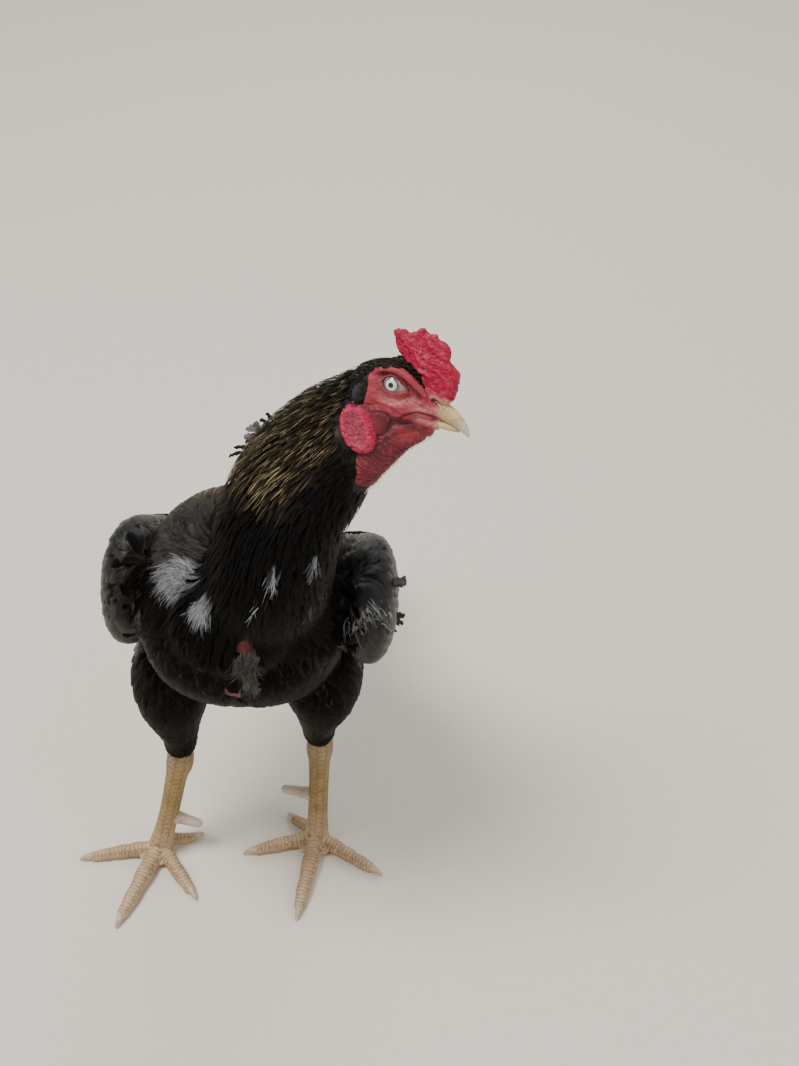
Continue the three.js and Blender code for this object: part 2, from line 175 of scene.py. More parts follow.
def tube_faces(count, ring, closed=False):
    """Faces between rings of points, and when closed a fan at each end round the two last points."""
    r, k = np.meshgrid(np.arange(count - 1), np.arange(ring), indexing="ij")
    a, b = r * ring + k, r * ring + (k + 1) % ring
    faces = np.stack([a, b, b + ring, a + ring], -1).reshape(-1, 4).tolist()
    end = (count - 1) * ring
    for k in range(ring if closed else 0):
        follow = (k + 1) % ring
        faces += [(end + ring, follow, k), (end + ring + 1, end + k, end + follow)]
    return faces


def ball(centre, half, segments=32):
    """An ellipsoid with half-axes half."""
    angle = np.linspace(-np.pi / 2, np.pi / 2, segments // 2 + 1)[1:-1]
    around = np.linspace(0, 2 * np.pi, segments, endpoint=False)
    x = np.cos(angle)[:, None] * np.cos(around)
    y = np.cos(angle)[:, None] * np.sin(around)
    z = np.repeat(np.sin(angle)[:, None], segments, 1)
    verts = np.concatenate([np.stack([x, y, z], -1).reshape(-1, 3), [[0, 0, -1], [0, 0, 1]]])
    return verts * np.asarray(half, float) + np.asarray(centre, float), tube_faces(len(angle), segments, True)


def joined(shapes):
    """Several (verts, faces) as one."""
    verts, faces, start = [], [], 0
    for v, f in shapes:
        verts.append(v)
        faces += [tuple(int(i) + start for i in face) for face in f]
        start += len(v)
    return np.concatenate(verts), faces


def fused(shapes, voxel, smooth):
    """The union of overlapping closed shapes as one smooth closed surface: verts, faces, normals."""
    verts, faces = joined(shapes)
    mesh = bpy.data.meshes.new("fusing")
    mesh.from_pydata(verts.tolist(), [], faces)
    body = added("fusing", mesh)
    remesh = body.modifiers.new("voxel", "REMESH")
    remesh.mode = "VOXEL"
    remesh.voxel_size = voxel
    remesh.adaptivity = 0
    soften = body.modifiers.new("soften", "SMOOTH")
    soften.factor = 0.5
    soften.iterations = smooth
    done = bpy.data.meshes.new_from_object(body.evaluated_get(bpy.context.evaluated_depsgraph_get()))
    polygons = [tuple(p.vertices) for p in done.polygons]
    out = vectors(done.vertices, "co"), polygons, vectors(done.vertex_normals, "vector")
    bpy.data.objects.remove(body)
    for used in (mesh, done):
        bpy.data.meshes.remove(used)
    return out


def surface(verts, faces):
    return BVHTree.FromPolygons([tuple(v) for v in verts], faces, epsilon=0.0)


# ---------------------------------------------------------------- camera, floor and light
SENSOR, FOCAL = 36.0, 54.03  # mm, the sensor along the picture's long side
CAMERA = {"place": (166.2, -918.0, 1059.8), "down": 38.0, "turn": 2.0, "roll": 1.5}
FLOOR = (0.78, 0.71, 0.61)
LIT_POINT = (0, 0, 0.28)
LIGHTS = {  # place, size, watts
    "key": ((-0.9, -0.7, 2.6), 1.1, 66), "fill": ((1.9, -1.2, 1.2), 1.6, 12), "back": ((0.3, 2.0, 1.9), 1.4, 20),
}


def make_camera():
    down, turned, roll = (math.radians(CAMERA[k]) for k in ("down", "turn", "roll"))
    ahead = np.array([-math.sin(turned) * math.cos(down), math.cos(turned) * math.cos(down), -math.sin(down)])
    right = np.array([math.cos(turned), math.sin(turned), 0.0])
    up = np.cross(right, ahead)
    right, up = right * math.cos(roll) + up * math.sin(roll), up * math.cos(roll) - right * math.sin(roll)
    data = bpy.data.cameras.new("camera")
    data.sensor_width, data.lens = SENSOR, FOCAL
    data.clip_start, data.clip_end = 0.05, 50.0
    camera = added("camera", data)
    matrix = np.eye(4)
    matrix[:3, :3] = np.stack([right, up, -ahead], 1)
    matrix[:3, 3] = np.array(CAMERA["place"]) * MM + SHIFT
    camera.matrix_world = Matrix(matrix.tolist())
    bpy.context.scene.camera = camera


def make_floor():
    """A plain pale floor with a faint grain."""
    half = 4.0
    mesh = bpy.data.meshes.new("floor")
    mesh.from_pydata([(-half, -half, 0), (half, -half, 0), (half, half, 0), (-half, half, 0)], [], [(0, 1, 2, 3)])
    made = Nodes("floor", 0.9)
    made.into(Base_Color=made.mix(made.noise(90.0), *(tuple(c * f for c in FLOOR) for f in (0.96, 1.03))))
    mesh.materials.append(made.material)
    added("floor", mesh)


def make_lights():
    world = bpy.data.worlds.new("studio")
    bpy.context.scene.world = world
    world.use_nodes = True
    back = world.node_tree.nodes["Background"]
    back.inputs["Color"].default_value = (0.95, 0.97, 1.0, 1)
    back.inputs["Strength"].default_value = 0.62
    for name, (place, size, watts) in LIGHTS.items():
        data = bpy.data.lights.new(name, "AREA")
        data.shape, data.size, data.energy = "DISK", size, watts
        lamp = added(name, data)
        lamp.location = place
        lamp.rotation_euler = (Vector(LIT_POINT) - Vector(place)).to_track_quat("-Z", "Y").to_euler()


# ---------------------------------------------------------------- materials
class Nodes:
    """Short calls for building a material's node tree."""

    def __init__(self, name, roughness, **inputs):
        self.material = bpy.data.materials.new(name)
        self.material.use_nodes = True
        self.tree = self.material.node_tree
        self.shader = self.tree.nodes["Principled BSDF"]
        self.set(self.shader, Roughness=roughness, **inputs)

    def set(self, node, **inputs):
        """Sets or links a node's settings and inputs by name, with _ for a space."""
        for key, value in inputs.items():
            if key in node.bl_rna.properties:
                setattr(node, key, value)
            else:
                self.feed(node.inputs[key.replace("_", " ")], value)

    def feed(self, socket, value):
        if hasattr(value, "is_output"):
            self.tree.links.new(value, socket)
        else:
            socket.default_value = value

    def node(self, kind, *values, **settings):
        made = self.tree.nodes.new(kind)
        self.set(made, **settings)
        for socket, value in zip(made.inputs, values):
            self.feed(socket, value)
        return made

    def attribute(self, name, output="Fac"):
        return self.node("ShaderNodeAttribute", attribute_name=name).outputs[output]

    def math(self, operation, *values):
        return self.node("ShaderNodeMath", *values, operation=operation).outputs[0]

    def ramp(self, value, low, high):
        """0 below low and 1 above high, smoothly."""
        return self.node("ShaderNodeMapRange", value, low, high, 0.0, 1.0, interpolation_type="SMOOTHSTEP").outputs[0]

    def mix(self, factor, a, b):
        """Colour a where the factor is 0 and b where it is 1."""
        made = self.node("ShaderNodeMix", factor, data_type="RGBA")
        for index, value in ((6, a), (7, b)):
            self.feed(made.inputs[index], (*value, 1) if isinstance(value, tuple) else value)
        return made.outputs[2]

    def place(self):
        return self.tree.nodes.new("ShaderNodeTexCoord").outputs["Object"]

    def noise(self, scale, detail=3.0, vector=None):
        made = self.node("ShaderNodeTexNoise", vector or self.place(), Scale=scale, Detail=detail, Roughness=0.55)
        return made.outputs["Fac"]

    def bump(self, height, distance, strength):
        return self.node("ShaderNodeBump", Strength=strength, Distance=distance, Height=height).outputs["Normal"]

    def into(self, **links):
        self.set(self.shader, **links)
        return self.material


def feather_material(name, roughness, gloss, barbs):
    """Each vertex carries across (-1 to 1), along (0 to 1), tone (the vane), rim (the edge) and how much edge shows."""
    made = Nodes(name, roughness, Specular_IOR_Level=gloss)
    wide = made.math("ABSOLUTE", made.attribute("across"))
    slant = made.math("MULTIPLY_ADD", wide, -0.55, made.attribute("along"))
    phase = made.math("MULTIPLY", made.attribute("grain"), 40.0)
    stripes = made.math("SINE", made.math("MULTIPLY_ADD", slant, barbs * 6.283, phase))
    wave = made.noise(420.0, 2.0)
    barb = made.math("MULTIPLY_ADD", wave, 0.9, made.math("MULTIPLY", stripes, 0.20))
    black = (0.0, 0.0, 0.0)
    varied = made.mix(made.math("MULTIPLY", barb, 0.55), made.attribute("tone", "Color"), black)
    ragged = made.math("MULTIPLY_ADD", made.math("SUBTRACT", wave, 0.5), 0.5, wide)
    edge = made.math("MULTIPLY", made.ramp(ragged, 0.46, 0.80), made.attribute("edging"))
    rim = made.mix(edge, varied, made.attribute("rim", "Color"))
    shaft = made.math("MULTIPLY", made.ramp(wide, 0.14, 0.02), 0.5)
    return made.into(Base_Color=made.mix(shaft, rim, made.mix(0.5, rim, black)), Normal=made.bump(barb, 0.0004, 0.55))


# ---------------------------------------------------------------- the head: shapes in its own frame
# +X along the bill, +Y the bird's left, +Z the crown; the eyes' middle is the origin. Curves are (x, z) from the side.
ACROSS = (0, 1, 0)
EYE = {"radius": 7.4, "side": 8.2}
SKULL = [  # x, y, z, half-width, half-height
    (-29, 0, -15, 12.0, 13.6), (-21, 0, -12, 14.2, 16.2), (-10, 0, -7.5, 14.6, 18.2), (1, 0, -5.5, 13.6, 18.2),
    (11, 0, -7, 11.2, 15.6), (20, 0, -9.5, 9.0, 11.6), (27, 0, -11, 7.3, 9.2),
]
THROAT = [
    (15.3, 0, -21.7, 6.4, 14.5), (5.8, 0, -30.8, 9.8, 14.7), (-0.8, 0, -43.1, 13.0, 13.6),
    (-6.8, 0, -55.1, 15.0, 12.6), (-11.5, 0, -67.3, 15.0, 11.3),
]
LIPS = [
    [(17, 0, -9.2, 9.3, 8.2), (24, 0, -9.2, 7.5, 7.1), (29, 0, -9.9, 6.9, 6.4), (33, 0, -10.6, 6.4, 5.9)],
    [(14, 0, -19.6, 8.2, 5.0), (22, 0, -19.7, 6.9, 4.6), (28, 0, -19.6, 6.1, 4.1), (32, 0, -19.6, 5.5, 3.75)],
]
LID_UPPER = [(-6.2, -0.9), (-4.6, 2.6), (-1.4, 4.5), (2.4, 4.2), (6.2, 2.2), (10.0, -1.0)]
LID_LOWER = [(10.0, -1.0), (7.0, -2.9), (2.7, -4.2), (-2.4, -4.4), (-5.2, -3.3), (-6.2, -0.9)]
BROW = [
    (-14.2, 1.6), (-11.6, 6.0), (-6.8, 8.7), (-1.2, 9.9), (3.8, 9.3), (9.3, 7.0), (14.3, 3.7), (18.8, 0.9),
    (21.4, -2.8),
]
UNDER_BROW = [(-9.4, 1.6), (-6.8, 5.2), (-1.4, 6.9), (4.0, 6.2), (9.6, 3.2), (14.6, -0.6), (18.4, -4.4)]
BAG = [(-9.6, -3.0), (-7.2, -7.2), (-2.2, -9.6), (3.6, -9.2), (9.2, -6.4), (13.6, -3.4)]
CHEEK_FOLDS = [
    [(-12, -17.6), (-5, -14.2), (3.6, -14.6), (10, -16.8), (16, -14.4)],
    [(-9, -21.5), (-2, -19.2), (5, -20.6), (10.5, -20.2)],
    [(-13, -12.4), (-9.5, -8.6), (-6, -11.4), (0, -12.6)],
    [(12, -6.4), (17.4, -8.4), (23, -10.4), (29, -10.8)],
]
GAPE = [(8.6, -20.2), (12.6, -16.8), (17.6, -14.2), (23.6, -13.7), (29.6, -14.2), (35, -15.0)]
JAW = [(-1, -38), (4.9, -33.2), (10.6, -27.6), (18.0, -23.8), (26.5, -21.6)]
JAW_GROOVE = [(2, -28.5), (8.5, -24.2), (16, -21.6), (24, -20.0)]
DARK_HOLLOWS = [  # curve, width: maroon skin deepened by painted shade in the hollows under the cheek
    ([(-14, -18), (-6, -20), (0, -23), (4, -29), (3, -38), (0, -46)], 6.5),
    ([(0, -21), (8, -23.5), (16, -24.5), (24, -24)], 3.6),
]
LIP_EDGES = [  # curve, width, where it begins
    ([(14, -12.5), (20, -11), (28, -9.6), (34, -9)], 2.3, 11), ([(17, -18.4), (24, -18.0), (32, -18.4)], 2.2, 12),
]
PALE_SKIN = [(-4, -10.5), (4, -10.5), (11, -8), (17, -7)]
THROAT_FRONT = [(33, -22.5), (26, -31), (18, -42), (13.5, -51.5), (9, -60), (2, -69), (-2, -74), (-8, -79)]
NOSTRIL = [(25.6, -3.6), (28.2, -4.2), (31.0, -5.8)]
NOSTRIL_FLAP = [(24.6, -1.9), (28.4, -2.4), (32.0, -4.4)]
COMB_OUTLINE = [
    (30, -8), (35, -5), (38, 0), (38, 6), (37.5, 13), (34, 18), (30, 21), (29.5, 26), (25.5, 31.5), (20.5, 33),
    (16.5, 35.5), (12, 34), (7.5, 36), (3.5, 34), (0, 31.5), (-5, 32.5), (-10.5, 30.5), (-8, 23), (1, 13.5), (9, 9),
    (16, 4), (20, -5),
]
BARE = [  # the outline, from the side, of the skin that has no feathers
    (-16.4, 3.6), (-13, 7.0), (-9, 9.4), (-3, 11.6), (4.7, 12.2), (11.4, 9.6), (16.6, 5.0), (19.0, 4.2), (22, 6),
    (24, 14), (60, 14), (60, -30), (36, -40), (20, -60), (4, -88), (-7, -82), (-9.5, -74), (-9.6, -62), (-14, -51),
    (-21, -47), (-28, -38), (-28.5, -26), (-24, -19.5), (-15.5, -18.5), (-14.6, -11), (-15.0, -4), (-16.6, 0),
]
EAR = {"at": (-20.0, -12.0), "half": (4.8, 7.0)}
LOBE_OUTLINE = [
    (-27.6, -24), (-28.2, -31), (-27.2, -37), (-24.3, -42.6), (-19.4, -47), (-13.2, -49.4), (-7.2, -48.8),
    (-2.8, -45.6), (-1.4, -39.9), (-3.2, -33.5), (-7.6, -26.5), (-12.5, -20.6), (-18.6, -18.8), (-24.2, -20.4),
]


def polyline(points, closed=False, step=0.5):
    """Points along a smooth curve through the given ones, step apart."""
    rows = np.asarray(points, float)
    if closed:
        rows = np.concatenate([rows, rows[:1]])
    length = np.linalg.norm(np.diff(rows, axis=0), axis=1).sum()
    return catmull(rows, np.linspace(0, 1, max(8, int(length / step))))


def shifted(curve, x, z, stretch=1):
    return [(stretch * a + x, b + z) for a, b in curve]


def beside_head(flat, out):
    """Points at (x, z) seen from the side and so far out."""
    return np.stack([flat[:, 0], np.broadcast_to(out, len(flat)), flat[:, 1]], 1)


def distance_to(points, curve):
    """Each 2-D point's distance to the nearest point of a curve, and how far along the curve that is (0 to 1)."""
    tree = tree_of(np.pad(curve, ((0, 0), (0, 1))))
    found = [tree.find((p[0], p[1], 0)) for p in points]
    return np.array([f[2] for f in found]), np.array([f[1] for f in found]) / max(1, len(curve) - 1)


def tree_of(points):
    tree = KDTree(len(points))
    for i, p in enumerate(np.asarray(points).tolist()):
        tree.insert(p, i)
    tree.balance()
    return tree


def near(points, curve, width):
    """1 on a curve, falling to 0 over a width."""
    return bell(distance_to(points, polyline(curve))[0], width)


def inside(points, outline):
    """Which 2-D points lie in a closed outline."""
    x, z = points[:, 0], points[:, 1]
    result = np.zeros(len(points), bool)
    for (x0, z0), (x1, z1) in zip(outline, np.roll(outline, -1, axis=0)):
        crossing = (z0 > z) != (z1 > z)
        at = x0 + (z - z0) / (z1 - z0 if z1 != z0 else 1e-9) * (x1 - x0)
        result ^= crossing & (x < at)
    return result


def smooth_step(x, low, high):
    t = np.clip((x - low) / (high - low), 0, 1)
    return t * t * (3 - 2 * t)


def mixed(a, b, amount):
    """a where the amount is 0 and b where it is 1."""
    return a * (1 - amount) + b * amount


def within(v, normal):
    """v without its part along the normal."""
    return v - normal * (v * normal).sum(1)[:, None]


def bell(d, width):
    return np.exp(-((d / width) ** 2))


def wave_noise(points, scale, seed=0.0, octaves=2):
    """Smooth noise of about -1 to 1 at each point."""
    offset = Vector((seed * 17.3, seed * 5.1, seed * 9.7))
    return np.array([noise.fractal(Vector(p) * scale + offset, 0.7, 2.0, octaves) for p in points.tolist()])


def cell_noise(points, scale, seed):
    """Distance to the nearest cell's centre."""
    offset = Vector((seed * 7.7, seed * 3.1, seed * 1.3))
    return np.array([noise.voronoi(Vector(p) * scale + offset)[0][0] for p in points.tolist()])


def slab(outline, layers, hub):
    """A body with the same outline from the side in every layer: (side, how far the outline is drawn in)."""
    outline = polyline(outline, closed=True, step=0.9)[:-1]
    ahead = np.roll(outline, -1, axis=0) - np.roll(outline, 1, axis=0)
    inward = unit(np.stack([-ahead[:, 1], ahead[:, 0]], 1))
    if ((outline + inward - hub) ** 2).sum() > ((outline - hub) ** 2).sum():
        inward = -inward
    rings = [beside_head(outline + inward * inset, float(side)) for side, inset in layers]
    poles = [[hub[0], layers[end][0], hub[1]] for end in (0, -1)]
    return np.concatenate(rings + [poles]), tube_faces(len(rings), len(outline), True)


def skull_top(x):
    return np.interp(x, [r[0] for r in SKULL], [r[2] + r[4] for r in SKULL])


def ear_radius(flat):
    """1 on the ear's outline."""
    return np.hypot(*((flat - EAR["at"]) / EAR["half"]).T)


def bare_skin(points):
    """Where the head has no feathers: its sides, but not the crown between the brows."""
    x, wide, z = points[:, 0], np.abs(points[:, 1]), points[:, 2]
    brow = np.interp(x, [r[0] for r in BROW], [r[1] for r in BROW])
    crown = (z > skull_top(x) - 6.0) & (wide < 11.6 - 0.13 * np.maximum(x - 4, 0)) & (x < 19.5)
    return inside(points[:, [0, 2]], BARE) & ~(crown & (z > np.maximum(1, brow - 0.5)))


def comb_skin(points):
    flat, wide = points[:, [0, 2]], np.abs(points[:, 1])
    x, z = points[:, 0], points[:, 2]
    edge, _ = distance_to(flat, polyline(COMB_OUTLINE, closed=True))
    in_blade = (inside(flat, COMB_OUTLINE) | (edge < 1.4)) & (wide < 5.6 + 3 * smooth_step(z, 8, 16))
    clear = z > np.minimum(skull_top(x) + 2.6 - 1.1 * np.maximum(x - 15, 0), 14)
    return in_blade & clear & (z > 3.5 - 0.25 * np.maximum(x - 16, 0))


def comb_shape():
    """The comb: a blade thinner towards its rim, leaning and buckled a little."""
    layers = [(-5.4, 3.8), (-4.9, 1.9), (-3.2, 0.6), (0, 0), (3.2, 0.6), (4.9, 1.9), (5.4, 3.8)]
    verts, faces = slab(COMB_OUTLINE, layers, (15, 16))
    height = smooth_step(verts[:, 2], 6, 34)
    verts[:, 1] *= 1.0 - 0.36 * height
    verts[:, 1] += 1.2 * height * np.sin(verts[:, 0] * 0.16 + 0.6) + 0.6 * height * np.sin(verts[:, 2] * 0.3)
    return verts, faces


def lobe_shape(side):
    layers = [(side * y, inset) for y, inset in ((8, 4.0), (11.5, 1.2), (14, 0.0), (16, 0.9), (17.3, 2.4), (17.8, 4.6))]
    return slab(LOBE_OUTLINE, layers, (-15, -34))


def sweep(points, radii, ring=12):
    """A closed tube along 3-D points with a radius at each."""
    ahead = unit(np.gradient(points, axis=0))
    side = unit(np.cross(ahead, ACROSS))
    other = np.cross(side, ahead)
    angle = np.arange(ring) * 2 * np.pi / ring
    circle = np.cos(angle)[None, :, None] * side[:, None] + np.sin(angle)[None, :, None] * other[:, None]
    verts = points[:, None] + circle * radii[:, None, None]
    verts = np.concatenate([verts.reshape(-1, 3), points[[0, -1]]])
    return verts, tube_faces(len(points), ring, True)


def eye_depth(flat):
    """How far out a lid lies at each (x, z): on the eyeball, easing to the face beyond its edge."""
    reach = np.hypot(flat[:, 0], flat[:, 1])
    on_ball = EYE["side"] + np.sqrt(np.maximum(EYE["radius"] ** 2 - np.minimum(reach, 7.0) ** 2, 0))
    beyond = 12.6 - 0.10 * np.maximum(flat[:, 0] - 6, 0)
    return np.maximum(on_ball, beyond)


def lid(curve, radius, lift, side):
    """One lid: a soft roll along the eye's opening, thin at both corners."""
    flat = polyline(curve)
    away = unit(flat - np.array([1.8, 0.2]))
    radii = radius * (0.62 + 0.38 * np.sin(np.pi * np.linspace(0, 1, len(flat))))
    flat = flat + away * radii[:, None] * 0.8
    return sweep(beside_head(flat, side * (eye_depth(flat) + lift)), radii)


def head_shapes():
    shapes = [loft(SKULL, ACROSS, power=2.2, caps=(0.7, 0.5)), loft(THROAT, ACROSS, power=2.1, caps=(0.5, 0.5))]
    shapes += [comb_shape()] + [loft(rows, ACROSS, caps=(0.3, 0.25)) for rows in LIPS]
    shapes.append(ball((19.5, 0, -25), (10.5, 6.0, 6.0)))
    ridge = polyline(BROW)
    t = np.linspace(0, 1, len(ridge))
    depth = 13.9 - 0.0125 * (ridge[:, 0] - 1) ** 2
    for side in SIDES.values():
        shapes += [
            ball((1, side * 7.0, -14.5), (17, 7.6, 8.6)),
            lobe_shape(side),
            ball((EAR["at"][0], side * 12.8, EAR["at"][1]), (5.6, 3.2, 7.6)),
            lid(LID_UPPER, 1.25, 0.1, side),
            lid(LID_LOWER, 1.85, -0.3, side),
            sweep(beside_head(ridge, side * depth), 1.3 + 1.7 * np.sin(np.pi * t**0.8) ** 0.7),
            sweep(beside_head(ridge - (0, 2.2), side * depth * 0.80), 1.4 + 1.0 * np.sin(np.pi * t) ** 0.7),
            ball((-6.5, side * 10.2, -25), (10, 5.2, 12)),
        ]
    # the neck's top, so that the head's lower end closes inside it
    return shapes + [ball((-31, 0, -30), (12, 9, 18)), ball((-17, 0, -52), (12, 10, 21))]


def sculpt_head(points, normals):
    """Moves the head's skin in and out for its folds, pores and granules. Returns the points and what each one is."""
    flat, wide, depth = points[:, [0, 2]], np.abs(points[:, 1]), points[:, 2]
    beside = smooth_step(wide, 3.0, 7.0) * smooth_step(np.abs(normals[:, 1]), 0.12, 0.4)
    comb = comb_skin(points)

    def folds_of(*folds):
        """Raised and sunk lines: curve, width, height, and whether it fades to its ends."""
        total = np.zeros(len(points))
        for curve, width, height, *fades in folds:
            d, t = distance_to(flat, polyline(curve))
            taper = 1.0 if fades else np.sin(np.pi * np.clip(t, 0.02, 0.98)) ** 0.5
            total += bell(d, width) * height * taper * beside
        return total

    move = folds_of((UNDER_BROW, 1.3, -1.5), (BAG, 1.5, 0.55), (shifted(BAG, 0, -1.9, 0.9), 0.9, -0.45))
    for curve, deep in zip(CHEEK_FOLDS, (0.3, 0.8, 0.5, 0.8)):
        move += folds_of((curve, 0.85, -0.9 * deep), (shifted(curve, 0.3, 1.7), 1.2, 0.5 * deep))
    move += folds_of(
        (GAPE, 0.65, -1.0, "even"), (shifted(GAPE, 0, 2.1), 1.3, 0.5), (shifted(GAPE, 0, -2.0), 1.2, 0.45),
        (JAW, 2.2, 0.8), (JAW_GROOVE, 1.3, -0.8), (shifted(JAW, -2, -5), 1.2, -0.6),
    )
    nose = smooth_step(wide, 1.5, 3.0) / np.maximum(beside, 0.2)
    move += folds_of((NOSTRIL, 0.75, -2.6, "even"), (NOSTRIL_FLAP, 1.2, 0.8)) * np.minimum(nose, 3)
    # the lobe: cobbled, thicker along its free edge, with a crease behind and below it
    in_lobe = inside(flat, LOBE_OUTLINE)
    lobe_r = distance_to(flat, polyline(LOBE_OUTLINE, closed=True))[0] * np.where(in_lobe, 1, -1)
    free = smooth_step(-(flat[:, 0] * 0.55 + flat[:, 1]), 26, 38)
    lobe = in_lobe & (wide > 12.2)
    swell = bell(lobe_r - 3.4, 2.0) * 0.75 * free - smooth_step(lobe_r, 4.5, 9) * 0.8
    move += np.where(wide > 12.5, swell, 0) * beside
    ear_r = ear_radius(flat)
    move -= bell(ear_r - 1.16, 0.1) * 0.8 * beside
    # wrinkles run across the throat, closer and finer towards its front
    throat = smooth_step(-depth, 30, 42) * ~lobe * inside(flat, BARE)
    bend = wave_noise(points, 0.06, 3)
    for height, lean, wander, pitch in ((0.34, 0.35, 3.4, 3.1), (0.12, 0.5, 2.0, 1.7)):
        move += throat * height * np.sin((depth + lean * points[:, 0] + wander * bend) * 2 * np.pi / pitch)
    # granules: coarse and run together on the comb and lobes, fine on the face
    bare = bare_skin(points) & ~comb & ~lobe
    coarse = cell_noise(points * (1, 1, 1.15) + 0.8 * bend[:, None], 0.62, 1)
    fine = cell_noise(points, 1.05, 2)
    folds = wave_noise(points * (0.75, 1, 1.5), 0.34, 5, 3)
    bill_skin = smooth_step(points[:, 0], 18, 26) * smooth_step(depth, -26, -20)
    crease = bell(wave_noise(points * (0.8, 1, 1.35) + 1.5 * bend[:, None], 0.21, 6, 2), 0.11)
    tiny = bell(wave_noise(points, 0.42, 8, 2), 0.12)
    knobs = wave_noise(points, 0.13, 9, 1)
    ripple = np.sin((0.62 * points[:, 0] + 0.78 * depth + 4.5 * bend + 1.5 * knobs) * 2 * np.pi / 4.4)
    move += comb * (0.16 * (0.6 - coarse) + 0.30 * folds + 1.0 * knobs + 0.34 * ripple - 0.45 * crease - 0.12 * tiny)
    move += lobe * (0.75 * (0.55 - coarse) + 0.4 * folds + 0.5 * knobs - 0.5 * crease * free)
    move += bare * (1 - 0.7 * bill_skin) * (0.26 * (0.55 - fine) + 0.22 * folds)
    opening = polyline(LID_UPPER + LID_LOWER[1:])
    rim = distance_to(flat, opening)[0]
    move = np.where(wide > 7, move * (0.25 + 0.75 * smooth_step(rim, 1.0, 3.4)), move)
    moved = points + normals * move[:, None]
    # the socket: what lies inside the opening goes in behind the eyeball
    in_socket = inside(flat, opening) & (wide > 6)
    sunk = smooth_step(rim, 0.15, 1.1) * in_socket
    moved[:, 1] = np.where(in_socket, mixed(moved[:, 1], np.sign(points[:, 1]) * 5.0, sunk), moved[:, 1])
    return moved, {
        "crease": np.maximum(crease, 0.6 * tiny), "ear_r": ear_r, "comb": comb, "lobe": lobe, "lobe_r": lobe_r,
        "bare": bare | lobe, "fine": fine, "move": move, "flat": flat, "wide": wide, "beside": beside,
    }


